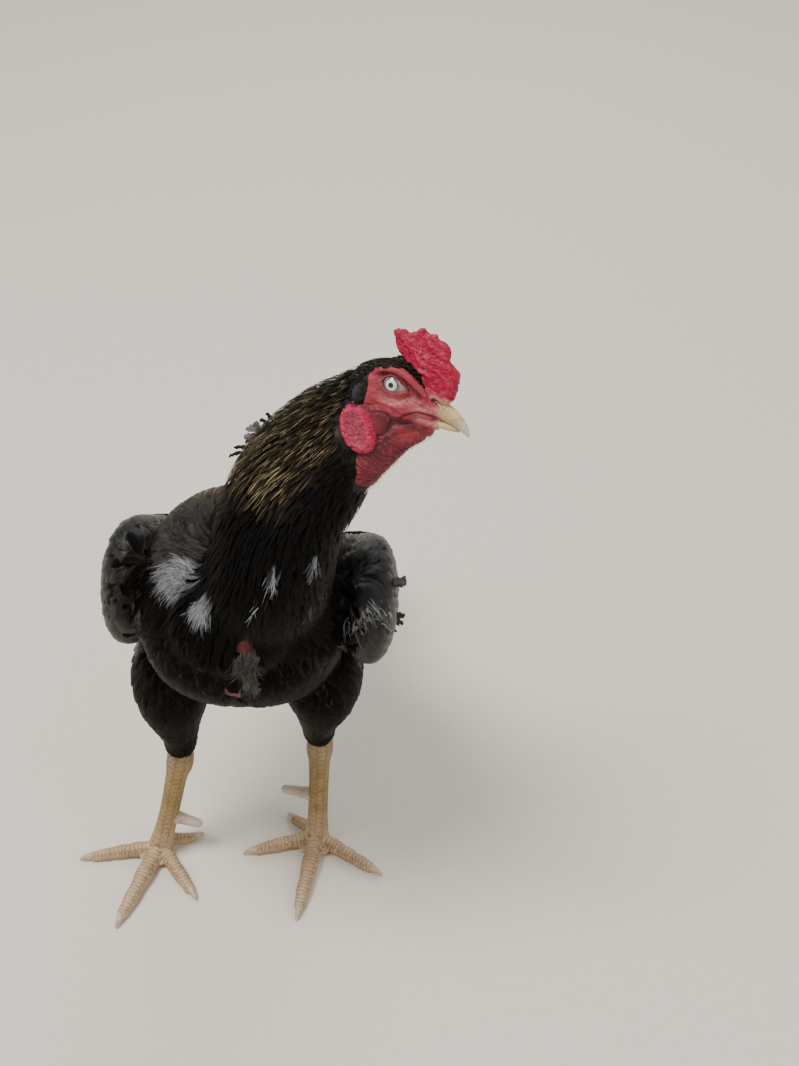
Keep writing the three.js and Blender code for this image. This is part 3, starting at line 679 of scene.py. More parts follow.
def paint_head(points, kinds):
    """Base colour of the head's skin: one thin layer of paint after another."""
    flat, wide, beside = kinds["flat"], kinds["wide"], kinds["beside"]
    comb, lobe, bare = kinds["comb"], kinds["lobe"], kinds["bare"]
    x, z = flat[:, 0], flat[:, 1]
    blotch, speck = wave_noise(points, 0.16, 11, 2), wave_noise(points, 0.9, 12, 2)
    side = wide > 7
    upper, lower = (distance_to(flat, polyline(curve))[0] for curve in (LID_UPPER, LID_LOWER))
    dark = np.maximum(*(near(flat, curve, width) for curve, width in DARK_HOLLOWS)) * smooth_step(-z, 15.5, 20)
    lips = sum(near(flat, curve, width) * smooth_step(x, low, 20) for curve, width, low in LIP_EDGES)
    in_ear = smooth_step(-kinds["ear_r"], -1.12, -0.98) * side
    inner = smooth_step(kinds["lobe_r"], 3.0, 7.0)
    flesh = comb | lobe
    layers = [  # colour, how much of it
        ((0.43, 0.066, 0.090), 0.55 * smooth_step(blotch, -0.1, 0.5)),
        # the pale, flaky skin under and in front of the eye
        ((0.58, 0.20, 0.21), near(flat, PALE_SKIN, 2.6) * (0.35 + 0.9 * smooth_step(speck, -0.2, 0.5))),
        # maroon between lobe and jaw, and down the throat's side, deepened by painted shade towards the throat's lower
        # end and in the hollows under the cheek
        ((0.135, 0.012, 0.020), smooth_step(-z - 0.25 * x, 20, 40) * 0.88 * ~lobe),
        ((0.36, 0.028, 0.052), near(flat, JAW, 3.6) * 0.5),
        ((0.080, 0.015, 0.018), dark * 0.85),
        # the brow and the lids, with painted shadow under the brow's overhang, painted shade along the upper lid's edge
        # and in the crease below the lower lid
        ((0.40, 0.050, 0.078), near(flat, BROW, 2.6) * 0.7),
        ((0.085, 0.015, 0.020), near(flat, UNDER_BROW, 1.3) * 0.85 * beside),
        ((0.22, 0.026, 0.030), bell(lower - 1.5, 1.6) * 0.9 * side),
        ((0.11, 0.018, 0.022), bell(lower - 3.9, 0.7) * 0.6 * side),
        ((0.30, 0.045, 0.045), bell(upper - 1.4, 1.2) * 0.5 * side),
        ((0.022, 0.012, 0.012), smooth_step(-upper, -1.25, -0.6) * 0.95 * side),
        ((0.26, 0.10, 0.085), smooth_step(-lower, -0.7, -0.2) * 0.7 * side),
        # painted shade in the cheek folds and along the gape
        *(((0.11, 0.022, 0.026), near(flat, curve, 0.8) * 0.7 * beside) for curve in (*CHEEK_FOLDS[:2], GAPE)),
        # cream lips over the bill's base
        ((0.52, 0.20, 0.19), lips * 0.7 * beside),
        ((0.56, 0.38, 0.24), smooth_step(x, 28, 35) * smooth_step(-z, -1, 5)),
        # painted shade: the gape's slit and the nostril's opening are near black
        ((0.040, 0.012, 0.012), near(flat, GAPE, 0.5) * 0.75 * smooth_step(wide, 2, 4)),
        ((0.012, 0.008, 0.008), near(flat, NOSTRIL, 0.75) * beside),
        ((0.60, 0.35, 0.30), near(flat, NOSTRIL_FLAP, 1.3) * 0.6 * beside),
        ((0.30, 0.16, 0.15), bell(kinds["ear_r"] - 1.12, 0.12) * 0.5 * side),
        # lobe: bright cobbled rim, duller greyish middle; comb: deep crimson; on both, a painted highlight on the
        # raised knobs and painted shade in the creases
        ((0.46, 0.022, 0.070), lobe * 0.95),
        ((0.27, 0.070, 0.098), lobe * inner * (0.55 + 0.5 * speck)),
        ((0.39, 0.009, 0.042), comb),
        ((0.60, 0.060, 0.115), flesh * smooth_step(kinds["move"], 0.1, 0.8) * 0.5 * (1 - 0.6 * inner * lobe)),
        ((0.17, 0.004, 0.018), flesh * smooth_step(kinds["crease"], 0.35, 1.0) * 0.7),
        ((0.20, 0.026, 0.028), smooth_step(kinds["fine"], 0.55, 0.8) * 0.45 * bare * ~comb),
        # under the feathers the skin is dark, and so is the ear's patch
        ((0.0060, 0.0048, 0.0040), ~(bare | comb)),
        ((0.011, 0.010, 0.011), in_ear),
        ((0.036, 0.033, 0.034), in_ear * smooth_step(-(x - EAR["at"][0]), -0.5, 3.5) * 0.8),
    ]
    colour = np.tile((0.33, 0.030, 0.048), (len(points), 1))
    for paint, amount in layers:
        colour = mixed(colour, np.array(paint), np.clip(amount.astype(float), 0, 1)[:, None])
    return colour


# ---------------------------------------------------------------- legs and feet
LEGS = {
    "left": {
        "foot": (70, 1, 0), "hock": (73, 8, 112), "yaw": -6, "knee": (72, -14, 238), "spur": 55,
        "toes": {"inner": -66, "middle": 0, "outer": 65, "hind": 231},
    },
    "right": {
        "foot": (-62, -19, 0), "hock": (-39, -12, 108), "yaw": -15, "knee": (-30, -22, 238), "spur": 44,
        "toes": {"inner": 52, "middle": 0, "outer": -62, "hind": 135},
    },
}
SHANK = {"hock": 11.0, "middle": 8.2, "ankle": 9.2}
SHANK_FORM = [  # part of the way down, height (a share of the hock's, and more), width and height as parts of a radius
    (0, 1, 14, 0.88, 0.98, "hock"), (0.0, 1, 4, 0.97, 1.06, "hock"), (0.06, 1, -6, 0.98, 1.06, "hock"),
    (0.2, 0.82, 0, 1.06, 1.22, "middle"), (0.5, 0.5, 0, 0.98, 1.10, "middle"), (0.75, 0.27, 0, 1.04, 1.10, "middle"),
    (0.92, 0.13, 0, 1.04, 1.02, "ankle"), (1, 0, 7, 1.0, 1.0, "ankle"),
]
TOES = {  # length, radius at root and end, claw's length, height of the root
    "inner": (56, 7.3, 4.9, 12, 0), "middle": (78, 8.6, 5.1, 13, 0), "outer": (60, 7.1, 4.7, 12, 0),
    "hind": (34, 5.9, 4.4, 10, 10),
}
KNUCKLE = 1.2
JOINTS = {"inner": 2, "middle": 3, "outer": 4, "hind": 1}  # how many pads swell along a toe
DRUMSTICK = [(0, 32, 42), (0.2, 33, 43), (0.4, 28, 37), (0.58, 20, 28), (0.74, 14.5, 19), (0.87, 12.8, 15)]
BULGE = 8
# columns of scales: degrees from the front or top, and their pitch
SHANK_COLUMNS = [(20, 5.2), (58, 4.6), (90, 3.7), (118, 3.2), (144, 3.0), (169, 2.9)]
TOE_COLUMNS = [(92, 2.8), (118, 2.2), (143, 1.9), (166, 1.8)]
SCALE_GROOVE = 0.85


def heading(leg, toe="middle"):
    angle = math.radians(leg["yaw"] + leg["toes"][toe] - 90)
    return np.array([math.cos(angle), math.sin(angle), 0.0])


def aside(ahead):
    return np.array([-ahead[1], ahead[0], 0.0])


def ends_of(leg):
    return np.array(leg["foot"], float), np.array(leg["hock"], float)


def toe_axis(name, t):
    """A toe's radius and its middle's height at each t along it."""
    _, root, end, _, lift = TOES[name]
    radius = root + (end - root) * t
    return radius, radius * 0.72 + KNUCKLE * np.sin(np.pi * t) + lift * (1 - t) ** 1.5


def toe_rows(name, count=30):
    """A toe along +X: x, y, z, half-width, half-height, swelling at its pads."""
    t = np.linspace(0.02, 1, count)
    radius, z = toe_axis(name, t)
    swollen = radius * (1 + 0.055 * np.sin(2 * np.pi * JOINTS[name] * t - 0.8))
    return np.stack([(TOES[name][0] - TOES[name][2]) * t, 0 * t, z, swollen * 0.97, swollen], 1)


def placed(points, ahead, origin):
    """From a frame with +X ahead to the bird's."""
    return np.asarray(points) @ np.array([ahead, aside(ahead), (0, 0, 1)]) + origin


def shank_rows(leg):
    foot, hock = ends_of(leg)
    rows = []
    for t, share, rise, w, h, part in SHANK_FORM:
        x, y, _ = hock + (foot - hock) * t
        rows.append((x, y, hock[2] * share + rise, SHANK[part] * w, SHANK[part] * h))
    return rows


def leg_shapes(leg):
    foot, ahead = ends_of(leg)[0], heading(leg)
    shank = loft(shank_rows(leg), aside(ahead), ring=40, caps=(0.6, 0.7))
    shapes = [shank, ball(foot + (0, 0, 6.5), (10.8, 10.8, 8.5))]
    for toe in TOES:
        verts, faces = loft(toe_rows(toe), ACROSS, ring=28, steps=40, power=2.1, caps=(0.6, 0.95))
        shapes.append((placed(verts, heading(leg, toe), foot), faces))
    for toe in ("inner", "outer"):  # a little web on each side of the middle toe
        between = unit(heading(leg, toe) + ahead)
        web, faces = ball((0, 0, 0), (9, 6.0, 2.4), 24)
        shapes.append((placed(web, between, foot + between * 11 + (0, 0, 5.4)), faces))
    return shapes


def leg_chart(points, leg):
    """Each point's place along its shank or toe, its angle round it (0 in front or on top), and which part it is."""
    foot, hock = ends_of(leg)
    ahead = heading(leg)
    off = points - (foot + np.clip(points[:, 2] / hock[2], 0, 1.2)[:, None] * (hock - foot))
    angle = np.arctan2(off @ aside(ahead), off @ ahead)
    # near the floor a toe wins over the shank
    best = np.hypot(off @ aside(ahead), off @ ahead) + 6 * (1 - smooth_step(points[:, 2], 12, 24))
    part = np.zeros(len(points), int)
    along = points[:, 2].copy()
    for number, toe in enumerate(TOES, 1):
        run = heading(leg, toe)
        s, v = (points - foot) @ run, (points - foot) @ aside(run)
        up = points[:, 2] - toe_axis(toe, np.clip(s / TOES[toe][0], 0, 1))[1]
        away = np.hypot(v, up) + np.maximum(0, -s + 9) * 2
        nearer = away < best
        for kept, new in ((best, away), (part, number), (along, s), (angle, np.arctan2(v, up))):
            kept[:] = np.where(nearer, new, kept)
    return along, angle, part


def scale_seeds(part, length):
    """Centres of a shank's or toe's scales: (along, angle in degrees)."""
    seeds = []
    if part == 0:
        for column, (angle, pitch) in enumerate((sign * a, pitch) for a, pitch in SHANK_COLUMNS for sign in (-1, 1)):
            places = np.arange(pitch * (0.5 if (column // 2 + column) % 2 else 0.0), length, pitch)
            seeds += [(s, angle + RNG.normal(0, 1.5)) for s in places + RNG.normal(0, 0.22, len(places))]
        return seeds
    for s in np.arange(3.0, length, 3.4):
        seeds.append((s + RNG.normal(0, 0.15), RNG.normal(0, 1.5)))
    for column, (angle, pitch) in enumerate(TOE_COLUMNS):
        for sign in (-1, 1):
            places = np.arange(0.5 * pitch * (column % 2), length, pitch)
            seeds += [(s + RNG.normal(0, 0.2), sign * (angle + RNG.normal(0, 2.5))) for s in places]
    return seeds


def scale_leg(points, normals, leg):
    """Raises the scales of a leg's skin; returns the points and how deep in a groove each one is."""
    along, angle, part = leg_chart(points, leg)
    groove, move = np.zeros(len(points)), np.zeros(len(points))
    for number, toe in enumerate((None, *TOES)):
        chosen = np.nonzero(part == number)[0]
        if toe:
            length, size, low, rise = TOES[toe][0] + 8, 6.2, 0.20, 0.26
        else:
            length, size, low, rise = 128, SHANK["middle"] * 1.05, 0.34, 0.22
        seeds = scale_seeds(number, length)
        turns = [(s, degrees + whole) for s, degrees in seeds for whole in (-360, 0, 360)]
        tree = tree_of([(s, math.radians(degrees) * size, 0) for s, degrees in turns])
        gap = np.empty(len(chosen))
        for i, k in enumerate(chosen):
            first, second = tree.find_n((along[k], angle[k] * size, 0), 2)
            gap[i] = second[2] - first[2]
        plateau = smooth_step(gap, 0.0, SCALE_GROOVE)
        move[chosen] = (plateau - 0.75) * (low + rise * (np.cos(angle[chosen]) * 0.5 + 0.5))
        groove[chosen] = 1 - plateau
    moved = points + normals * move[:, None]
    moved[:, 2] = np.maximum(moved[:, 2], 0.0)
    return moved, groove, part, along, angle


def paint_leg(points, groove, part, along, angle):
    """Cream toes and an olive shank, blotched and speckled, then thin layers of paint."""
    high = smooth_step(points[:, 2], 12, 60)[:, None]
    blotch, speck = wave_noise(points, 0.08, 21, 3)[:, None], wave_noise(points, 0.7, 22, 2)[:, None]
    colour = mixed(np.array([0.52, 0.35, 0.195]), np.array([0.30, 0.205, 0.075]),
        high) * (1 + 0.22 * blotch) + 0.02 * speck
    for paint, amount in (
        ((0.62, 0.45, 0.28), 0.5 * smooth_step(along, 34, 70) * (part > 0)),
        ((0.42, 0.30, 0.15), 0.35 * smooth_step(-np.cos(angle), 0.1, 0.8) * (part == 0)),
        ((0.34, 0.235, 0.14), 0.5 * smooth_step(points[:, 2], 92, 108)),
        ((0.10, 0.065, 0.030), 0.62 * groove),
    ):
        colour = mixed(colour, np.array(paint), amount[:, None])
    return np.clip(colour, 0.01, 0.9)


# ---------------------------------------------------------------- the body's forms, as the solids have them
TRUNK = [  # y, z, half-width, half-height
    (-98, 338, 44, 40), (-78, 324, 66, 64), (-38, 302, 76, 79), (8, 276, 76, 80), (52, 252, 67, 69),
    (92, 231, 52, 52), (124, 216, 39, 37), (148, 205, 25, 26),
]
NECK = [  # x, y, z, half-depth from nape to throat, half-width
    (36, -58, 318, 40, 50), (45, -77, 352, 44, 51), (52, -80, 382, 43, 48), (58, -76, 411, 43, 42),
    (73, -69, 441, 43, 36), (98, -69, 474, 38, 26.5), (117, -70, 496, 30, 17),
]
THROATWARDS = unit((0.62, -0.38, -0.68))
WING = [  # out from the middle, y, z, half-thickness, half-depth
    (84, -56, 322, 15, 30), (89, -42, 314, 20, 42), (91, -14, 298, 20, 47), (86, 22, 275, 18, 45),
    (75, 60, 251, 14, 39), (60, 98, 230, 10, 31), (46, 134, 211, 7, 21), (37, 162, 198, 4, 11),
]
WING_SHIFT = {"left": (0, -8), "right": (6, 0)}
TAIL = [
    (0, 130, 222, 24, 29), (0, 168, 204, 23, 37), (0, 210, 180, 19, 40), (0, 250, 152, 13, 34), (0, 278, 130, 6, 20),
]
TAIL_ROWS = np.array([(MID + x, *row) for x, *row in TAIL], float)
SICKLE = [
    (17, 146, 224, 6, 9), (25, 188, 222, 5, 13), (28, 235, 200, 4, 13), (26, 276, 158, 3, 9), (20, 304, 112, 1.6, 4),
]
FEATHER_PLACES = 85000  # how many places are tried for feathers
VANE_TRIANGLES, PIECE_TRIANGLES = 115, 180000  # about what a vane has, and the most for a piece
COAT_DEPTH = {"trunk": 6.5, "neck": 6.0, "wing": 5.0, "thigh": 4.5, "tail": 5.0}


def wing_rows(name):
    x, z = WING_SHIFT[name]
    return np.array([(MID + SIDES[name] * out + x, y, up + z, w, h) for out, y, up, w, h in WING], float)


def thigh_rows(name):
    knee, hock = np.array(LEGS[name]["knee"], float), ends_of(LEGS[name])[1]
    rows = []
    for t, w, h in DRUMSTICK:
        x, y, z = knee + (hock - knee) * t
        rows.append((x + SIDES[name] * BULGE * math.sin(math.pi * min(1, t * 1.3)) * (1 - t), y, z, w, h))
    return np.array(rows)


def neck_depth(s):
    """The coat's depth along the neck: 0 at the head's end, 1 at the base."""
    return mixed(2.2, COAT_DEPTH["neck"], smooth_step(s, 0, 0.6))


def body_forms(shrink):
    """The body's lofts by name, each drawn in by a part of its coat's depth (0: the coat's outside, 1: the skin)."""
    def less(rows, depth, limit=2.5):
        rows = np.array(rows, float)
        rows[:, 3:] = np.maximum(rows[:, 3:] - np.reshape(depth, (-1, 1)) * shrink, limit)
        return rows

    # the skin ends where the quills' own length begins
    tail, wing = (TAIL_ROWS[:2], slice(6)) if shrink else (TAIL_ROWS, slice(None))
    forms = {
        "trunk": loft(less([(MID, *row) for row in TRUNK], COAT_DEPTH["trunk"]), (1, 0, 0), power=2.45,
            caps=(0.55, 0.5)),
        "neck": loft(less(NECK, neck_depth(np.linspace(1, 0, len(NECK)))), THROATWARDS, caps=(0.3, 0.2)),
        "tail": loft(less(tail, COAT_DEPTH["tail"]), (1, 0, 0), caps=(0.5, 0.6)),
    }
    for name in SIDES:
        forms["wing_" + name] = loft(less(wing_rows(name)[wing], COAT_DEPTH["wing"]), (1, 0, 0), power=2.3,
            caps=(0.8, 0.8))
        forms["thigh_" + name] = loft(less(thigh_rows(name), COAT_DEPTH["thigh"]), (1, 0, 0), caps=(0.6, 0.3))
    return forms


class Coat:
    """The coat's outside as one surface: for each vertex its normal, the form it belongs to and the feathers' lie."""

    def __init__(self):
        forms = body_forms(0)
        head = [(from_head(v), f) for v, f in (loft(SKULL, ACROSS, power=2.2), loft(THROAT, ACROSS, caps=(0.5, 0.5)))]
        self.names = list(forms)
        self.points, self.faces, self.normals = fused(list(forms.values()) + head, voxel=2.6, smooth=5)
        self.tree = surface(self.points, self.faces)
        trees = [surface(*form) for form in forms.values()]
        gaps = [[tree.find_nearest(p)[3] for p in self.points.tolist()] for tree in trees]
        self.form = np.argmin(np.array(gaps), axis=0)
        self.lie = self.smoothed(self.first_lie(), 14)

    def first_lie(self):
        p, n = self.points, self.normals
        lie = np.zeros_like(p)
        for number, name in enumerate(self.names):
            mask = self.form == number
            here, side = p[mask], name.split("_")[-1]
            if name == "neck":
                spine = neck_spine(40)
                lie[mask] = unit(-np.gradient(spine, axis=0))[nearest_of(here, spine)]
            elif name.startswith("wing"):
                # they spread from the wrist's hidden inner side, then run along the folded wing
                wrist = np.array([MID + SIDES[side] * 62, -44, 372])
                rear = smooth_step(here[:, 1], -20, 80)[:, None]
                lie[mask] = mixed(unit(here - wrist), np.array([0, 0.86, -0.50]), rear)
            elif name.startswith("thigh"):
                lie[mask] = unit(ends_of(LEGS[side])[1] - LEGS[side]["knee"])
            elif name == "tail":
                lie[mask] = unit((0, 0.80, -0.58))
            else:
                out = (here[:, 0] - MID) / 76
                base, breast, back = (
                    np.stack([spread * out, np.full(len(here), rear), np.full(len(here), up)], 1)
                    for spread, rear, up in ((0.10, 0.72, -0.68), (0.14, 0.12, -1.0), (0.06, 0.88, -0.46))
                )
                front = smooth_step(-n[mask][:, 1], -0.1, 0.7)[:, None]
                top = smooth_step(n[mask][:, 2], 0.2, 0.7)[:, None]
                lie[mask] = mixed(mixed(base, back, top), breast, front)
        return unit(within(lie, n))

    def smoothed(self, lie, rounds):
        edges = np.array([(f[i], f[(i + 1) % len(f)]) for f in self.faces for i in range(len(f))])
        for _ in range(rounds):
            total = lie.copy()
            np.add.at(total, edges[:, 0], lie[edges[:, 1]])
            np.add.at(total, edges[:, 1], lie[edges[:, 0]])
            lie = unit(within(total, self.normals))
        return lie

    def march(self, *feathers):
        return march(self.tree, self.points, self.normals, self.lie, *feathers)

    def candidates(self, count):
        """Points spread at random over the surface, each with the nearest vertex's number."""
        tris = np.array([t for f in self.faces for t in ((f[0], f[1], f[2]), (f[0], f[2], f[3])) if len(f) == 4])
        a, b, c = (self.points[tris[:, k]] for k in range(3))
        area = np.linalg.norm(np.cross(b - a, c - a), axis=1)
        pick = RNG.choice(len(tris), count, p=area / area.sum())
        u, v = RNG.random(count), RNG.random(count)
        u, v = np.where(u + v > 1, 1 - u, u), np.where(u + v > 1, 1 - v, v)
        return a[pick] + (b - a)[pick] * u[:, None] + (c - a)[pick] * v[:, None], tris[pick, 0]


def thinned(points, spacing):
    """Which of the points to keep so that none has a neighbour nearer than its own spacing."""
    tree = tree_of(points)
    alive = np.ones(len(points), bool)
    keep = []
    for i in range(len(points)):
        if alive[i]:
            keep.append(i)
            for _, j, _ in tree.find_range(points[i], float(spacing[i])):
                alive[j] = False
    return np.array(keep, int)


def march(tree, points, normals, lie, starts, start_normals, ways, lengths, steps):
    """Centrelines over a surface from each start: the surface's points and normals at each step."""
    finder = tree_of(points)
    path = np.empty((len(starts), steps + 1, 3))
    normal = np.empty_like(path)
    for i in range(len(starts)):
        p, way = starts[i], ways[i]
        stride = lengths[i] / steps
        path[i, 0], normal[i, 0] = p, start_normals[i]
        # stray: how far this feather's own way differs from the lie where it grows
        stray = way - lie[finder.find(p)[1]]
        for k in range(1, steps + 1):
            p = np.array(tree.find_nearest(p + way * stride)[0])
            index = finder.find(p)[1]
            n = normals[index]
            way = lie[index] * 0.6 + way * 0.4 + stray * 0.25
            way = way - n * (way @ n)
            way /= max(np.linalg.norm(way), 1e-6)
            path[i, k], normal[i, k] = p, n
    return path, normal


# ---------------------------------------------------------------- feathers
VANE_PATCH = 0.0014  # half the size of a vane's patch on the unwrap
PROFILES = {  # a vane's half-width along its length, as a part of its greatest
    "body": [0.20, 0.66, 0.90, 0.99, 1.00, 0.99, 0.93, 0.75, 0.05],
    "hackle": [0.16, 0.55, 0.85, 1.00, 0.92, 0.74, 0.52, 0.31, 0.03],
    "flight": [0.22, 0.70, 0.92, 1.00, 1.00, 0.98, 0.92, 0.70, 0.05],
    "bristle": [0.9, 1.0, 0.9, 0.8, 0.66, 0.5, 0.36, 0.22, 0.05],
}


def resampled(rows, t):
    """rows (n, K+1, 3) at parameters t (n, m), straight between neighbours."""
    last = rows.shape[1] - 1
    s = np.clip(t, 0, 1) * last
    i = np.minimum(s.astype(int), last - 1)
    f = (s - i)[..., None]
    which = np.arange(len(rows))[:, None]
    return rows[which, i] * (1 - f) + rows[which, i + 1] * f


def vanes(name, path, normal, half, roots, tone, rim, edging, material, profile="body", rows=9, columns=5,
          jag=0.10, camber=0.16, slant=0.5, thick=0.30, tip_tone=None, soft=0.0):
    """One mesh of closed thin vanes, each along its own centreline.

    path, normal: (n, K+1, 3); half: (n,) greatest half-width; roots: (n, 2) places on the skin's unwrap;
    tone, tip_tone, rim: (n, 3) colours at the root, the tip and the edge; edging: (n,) how much edge shows.
    """
    n = len(path)
    t = 1 - (1 - np.linspace(0, 1, rows)) ** 1.25  # rows stand closer towards the tip, which is round
    shape = np.interp(t, np.linspace(0, 1, 9), PROFILES[profile])[None, :, None]
    across = np.linspace(-1, 1, columns)
    length = np.linalg.norm(np.diff(path, axis=1), axis=2).sum(1)
    tangent = unit(np.gradient(path, axis=1))
    # a barb leaves the shaft at a slant, so a row's edge points lie further along than its middle
    reach = np.minimum(slant * half / np.maximum(length, 1e-6), 0.3)[:, None, None]
    ragged = RNG.normal(0, 1, (n, rows, columns)) * (np.abs(across) ** 2) * (t < 1)[None, :, None]
    lean = (3 * t * (1 - t))[None, :, None]
    at = t[None, :, None] + reach * np.abs(across) * lean + ragged * jag / rows
    at = np.clip(np.maximum.accumulate(at, axis=1), 0, 1.0).reshape(n, -1)
    centre, up, out, ahead = (
        resampled(rows_of, at).reshape(n, rows, columns, 3)
        for rows_of in (path, normal, unit(np.cross(tangent, normal)), tangent)
    )
    up, out, ahead = unit(up), unit(out), unit(ahead)
    offset = half[:, None, None] * shape * (1 + ragged * jag) * across
    drop = camber * half[:, None, None] * (across**2) * shape
    top = centre + out * offset[..., None] - up * drop[..., None]
    inner = list(range(columns - 2, 0, -1))
    spread = np.concatenate([across, across[inner]])
    verts = np.concatenate([top, (top - up * thick)[:, :, inner]], axis=2).reshape(-1, 3)
    size = len(spread)
    r, k = np.meshgrid(np.arange(rows - 1), np.arange(size), indexing="ij")
    a, b = r * size + k, r * size + (k + 1) % size
    # above and below, each cell is cut along the same diagonal, so that neither side comes through the other
    outward = np.round(np.abs(spread), 6)
    beside = np.roll(outward, -1)
    first = ((outward > beside) | ((outward == beside) & (np.arange(size) < columns)))[k][..., None]
    one = np.where(first, np.stack([b, b + size, a], -1), np.stack([b, b + size, a + size], -1))
    two = np.where(first, np.stack([b + size, a + size, a], -1), np.stack([b, a + size, a], -1))
    tris = np.concatenate([one.reshape(-1, 3), two.reshape(-1, 3)])
    caps = np.stack([np.arange(size)[::-1], (rows - 1) * size + np.arange(size)])
    starts = (np.arange(n) * rows * size)[:, None, None]
    tris, caps = (tris[None] + starts).reshape(-1, 3), (caps[None] + starts).reshape(-1, size)
    mesh = bpy.data.meshes.new(name)
    mesh.vertices.add(len(verts))
    mesh.vertices.foreach_set("co", (verts * MM + SHIFT).astype(np.float32).ravel())
    loops = np.concatenate([tris.ravel(), caps.ravel()])
    begins = np.concatenate([np.arange(len(tris)) * 3, len(tris) * 3 + np.arange(len(caps)) * size])
    mesh.loops.add(len(loops))
    mesh.loops.foreach_set("vertex_index", loops.astype(np.int32))
    mesh.polygons.add(len(begins))
    mesh.polygons.foreach_set("loop_start", begins.astype(np.int32))
    along = np.broadcast_to(t[None, :, None], (n, rows, size)).reshape(-1)
    over = np.broadcast_to(spread, (n, rows, size)).reshape(-1)
    each = np.repeat(np.arange(n), rows * size)
    tip_tone = tone if tip_tone is None else tip_tone
    write(mesh, "tone", mixed(tone[each], tip_tone[each], smooth_step(along, 0.25, 0.62)[:, None]))
    write(mesh, "rim", rim[each])
    write(mesh, "edging", edging[each] * smooth_step(along, 0.15, 0.5))
    write(mesh, "across", over + (RNG.normal(0, 0.28, n)[each] if profile in ("hackle", "body") else 0))
    write(mesh, "along", along)
    write(mesh, "grain", RNG.random(n)[each])
    patch = np.stack([over, along * 2 - 1], 1) * VANE_PATCH + roots[each]
    mesh.uv_layers.new(name="OFBake").data.foreach_set("uv", patch[loops].astype(np.float32).ravel())
    mesh.validate()
    finish_piece(name, mesh, material)
    if soft:
        # the vane's own slope, eased towards the coat's, so that the coat shades as one surface
        own = unit(up - ahead * (up * ahead).sum(-1, keepdims=True)) + out * (2 * camber * across)[:, None]
        shading = unit(mixed(unit(own), up, soft))
        shading = np.concatenate([shading, -up[:, :, inner]], axis=2).reshape(-1, 3)
        mesh.normals_split_custom_set_from_vertices(shading.astype(np.float32))


def write(mesh, name, values):
    """A number or a colour for every vertex."""
    values = np.asarray(values, np.float32)
    if values.ndim == 1:
        mesh.attributes.new(name, "FLOAT", "POINT").data.foreach_set("value", values)
    else:
        rgba = np.pad(values, ((0, 0), (0, 1)), constant_values=1)
        mesh.attributes.new(name, "FLOAT_COLOR", "POINT").data.foreach_set("color", rgba.ravel())


def spread_of(mean, spread, low, high, count):
    """Random numbers round a mean, cut off at both sides."""
    return np.clip(mean + spread * RNG.normal(0, 1, count), low, high)


AXES = {"trunk": ((MID, -110, 345), (MID, 160, 200)), "neck": ((36, -58, 300), (125, -70, 510))}
AXES["tail"] = AXES["flights"] = ((MID, 120, 228), (MID, 300, 110))
CHARTS = {  # each form's place on the unwrap: left, bottom, width, height
    "trunk": (0.01, 0.01, 0.60, 0.36), "neck": (0.01, 0.39, 0.48, 0.26), "tail": (0.51, 0.39, 0.20, 0.26),
    "head": (0.73, 0.39, 0.26, 0.26), "wing_left": (0.01, 0.67, 0.24, 0.31), "wing_right": (0.26, 0.67, 0.24, 0.31),
    "thigh_left": (0.51, 0.67, 0.23, 0.31), "thigh_right": (0.76, 0.67, 0.23, 0.31),
    "flights": (0.63, 0.01, 0.36, 0.36),
}


def unwrapped(points, form):
    """Places on the unwrap: round the form's own axis, and along it."""
    if form in AXES:
        low, high = AXES[form]
    elif form == "head":
        low, high = from_head([(-40, 0, -60), (20, 0, 20)])
    else:
        part, side = form.split("_")
        rows = wing_rows(side) if part == "wing" else thigh_rows(side)
        low, high = rows[0, :3], rows[-1, :3]
    low, high = np.array(low, float), np.array(high, float)
    axis = unit(high - low)
    first = unit(np.cross(axis, (0.31, 0.17, 0.93)))
    off = points - low
    along = np.clip((off @ axis) / np.linalg.norm(high - low), -0.1, 1.1)
    angle = np.arctan2(off @ np.cross(axis, first), off @ first) / (2 * np.pi) + 0.5
    left, bottom, width, height = CHARTS[form]
    return np.stack([left + width * angle, bottom + height * (along + 0.1) / 1.2], 1)


# ---------------------------------------------------------------- markings, the same on skin and coat, and a sheen painted on the shoulder's feathers
BLACK = np.array([0.0037, 0.0026, 0.0018])
WARM_BLACK = np.array([0.013, 0.0092, 0.0048])
WHITE = np.array([0.44, 0.45, 0.46])
STRAW = np.array([0.28, 0.208, 0.108])
BROWN = np.array([0.085, 0.055, 0.034])
BALD_SKIN = np.array([0.50, 0.27, 0.23])
RED_SKIN = np.array([0.165, 0.026, 0.030])
# a greyish tone, which also lightens the shoulder's feathers as a painted sheen
GREY_AND_SHEEN = np.array([0.062, 0.054, 0.046])
DOWN = np.array([0.13, 0.12, 0.11])
BLOTCHES = {  # kind: (centre, radii) in the bird's frame
    "white": [((-14, -82, 358), (19, 18, 10)), ((8, -110, 357), (8, 8, 5.5)), ((57, -124, 394), (3, 4, 3)),
              ((83, -110, 399), (3, 5, 4))],
    # the first, large one of these greyish blotches is a painted sheen on the shoulder
    "grey_and_sheen": [((-18, -42, 365), (26, 42, 20)), ((87, -99, 359), (6, 7, 7)), ((78, -107, 352), (6, 7, 6))],
    "down": [((37, -125, 319), (9, 9, 15)), ((-44, -74, 312), (5, 7, 9)), ((38, -119, 294), (5, 8, 6))],
    "scruff": [((108, -68, 314), (7, 8, 9)), ((118, -63, 321), (7, 8, 8)), ((127, -55, 308), (6, 9, 10)),
               ((47, -126, 374), (3, 4, 4))],
    "red": [((36, -124, 331), (7, 9, 7)), ((32, -113, 277), (16, 14, 14)), ((30, -103, 264), (14, 12, 9))],
    "bald": [((-47, -67, 322), (5, 8, 9))],
}


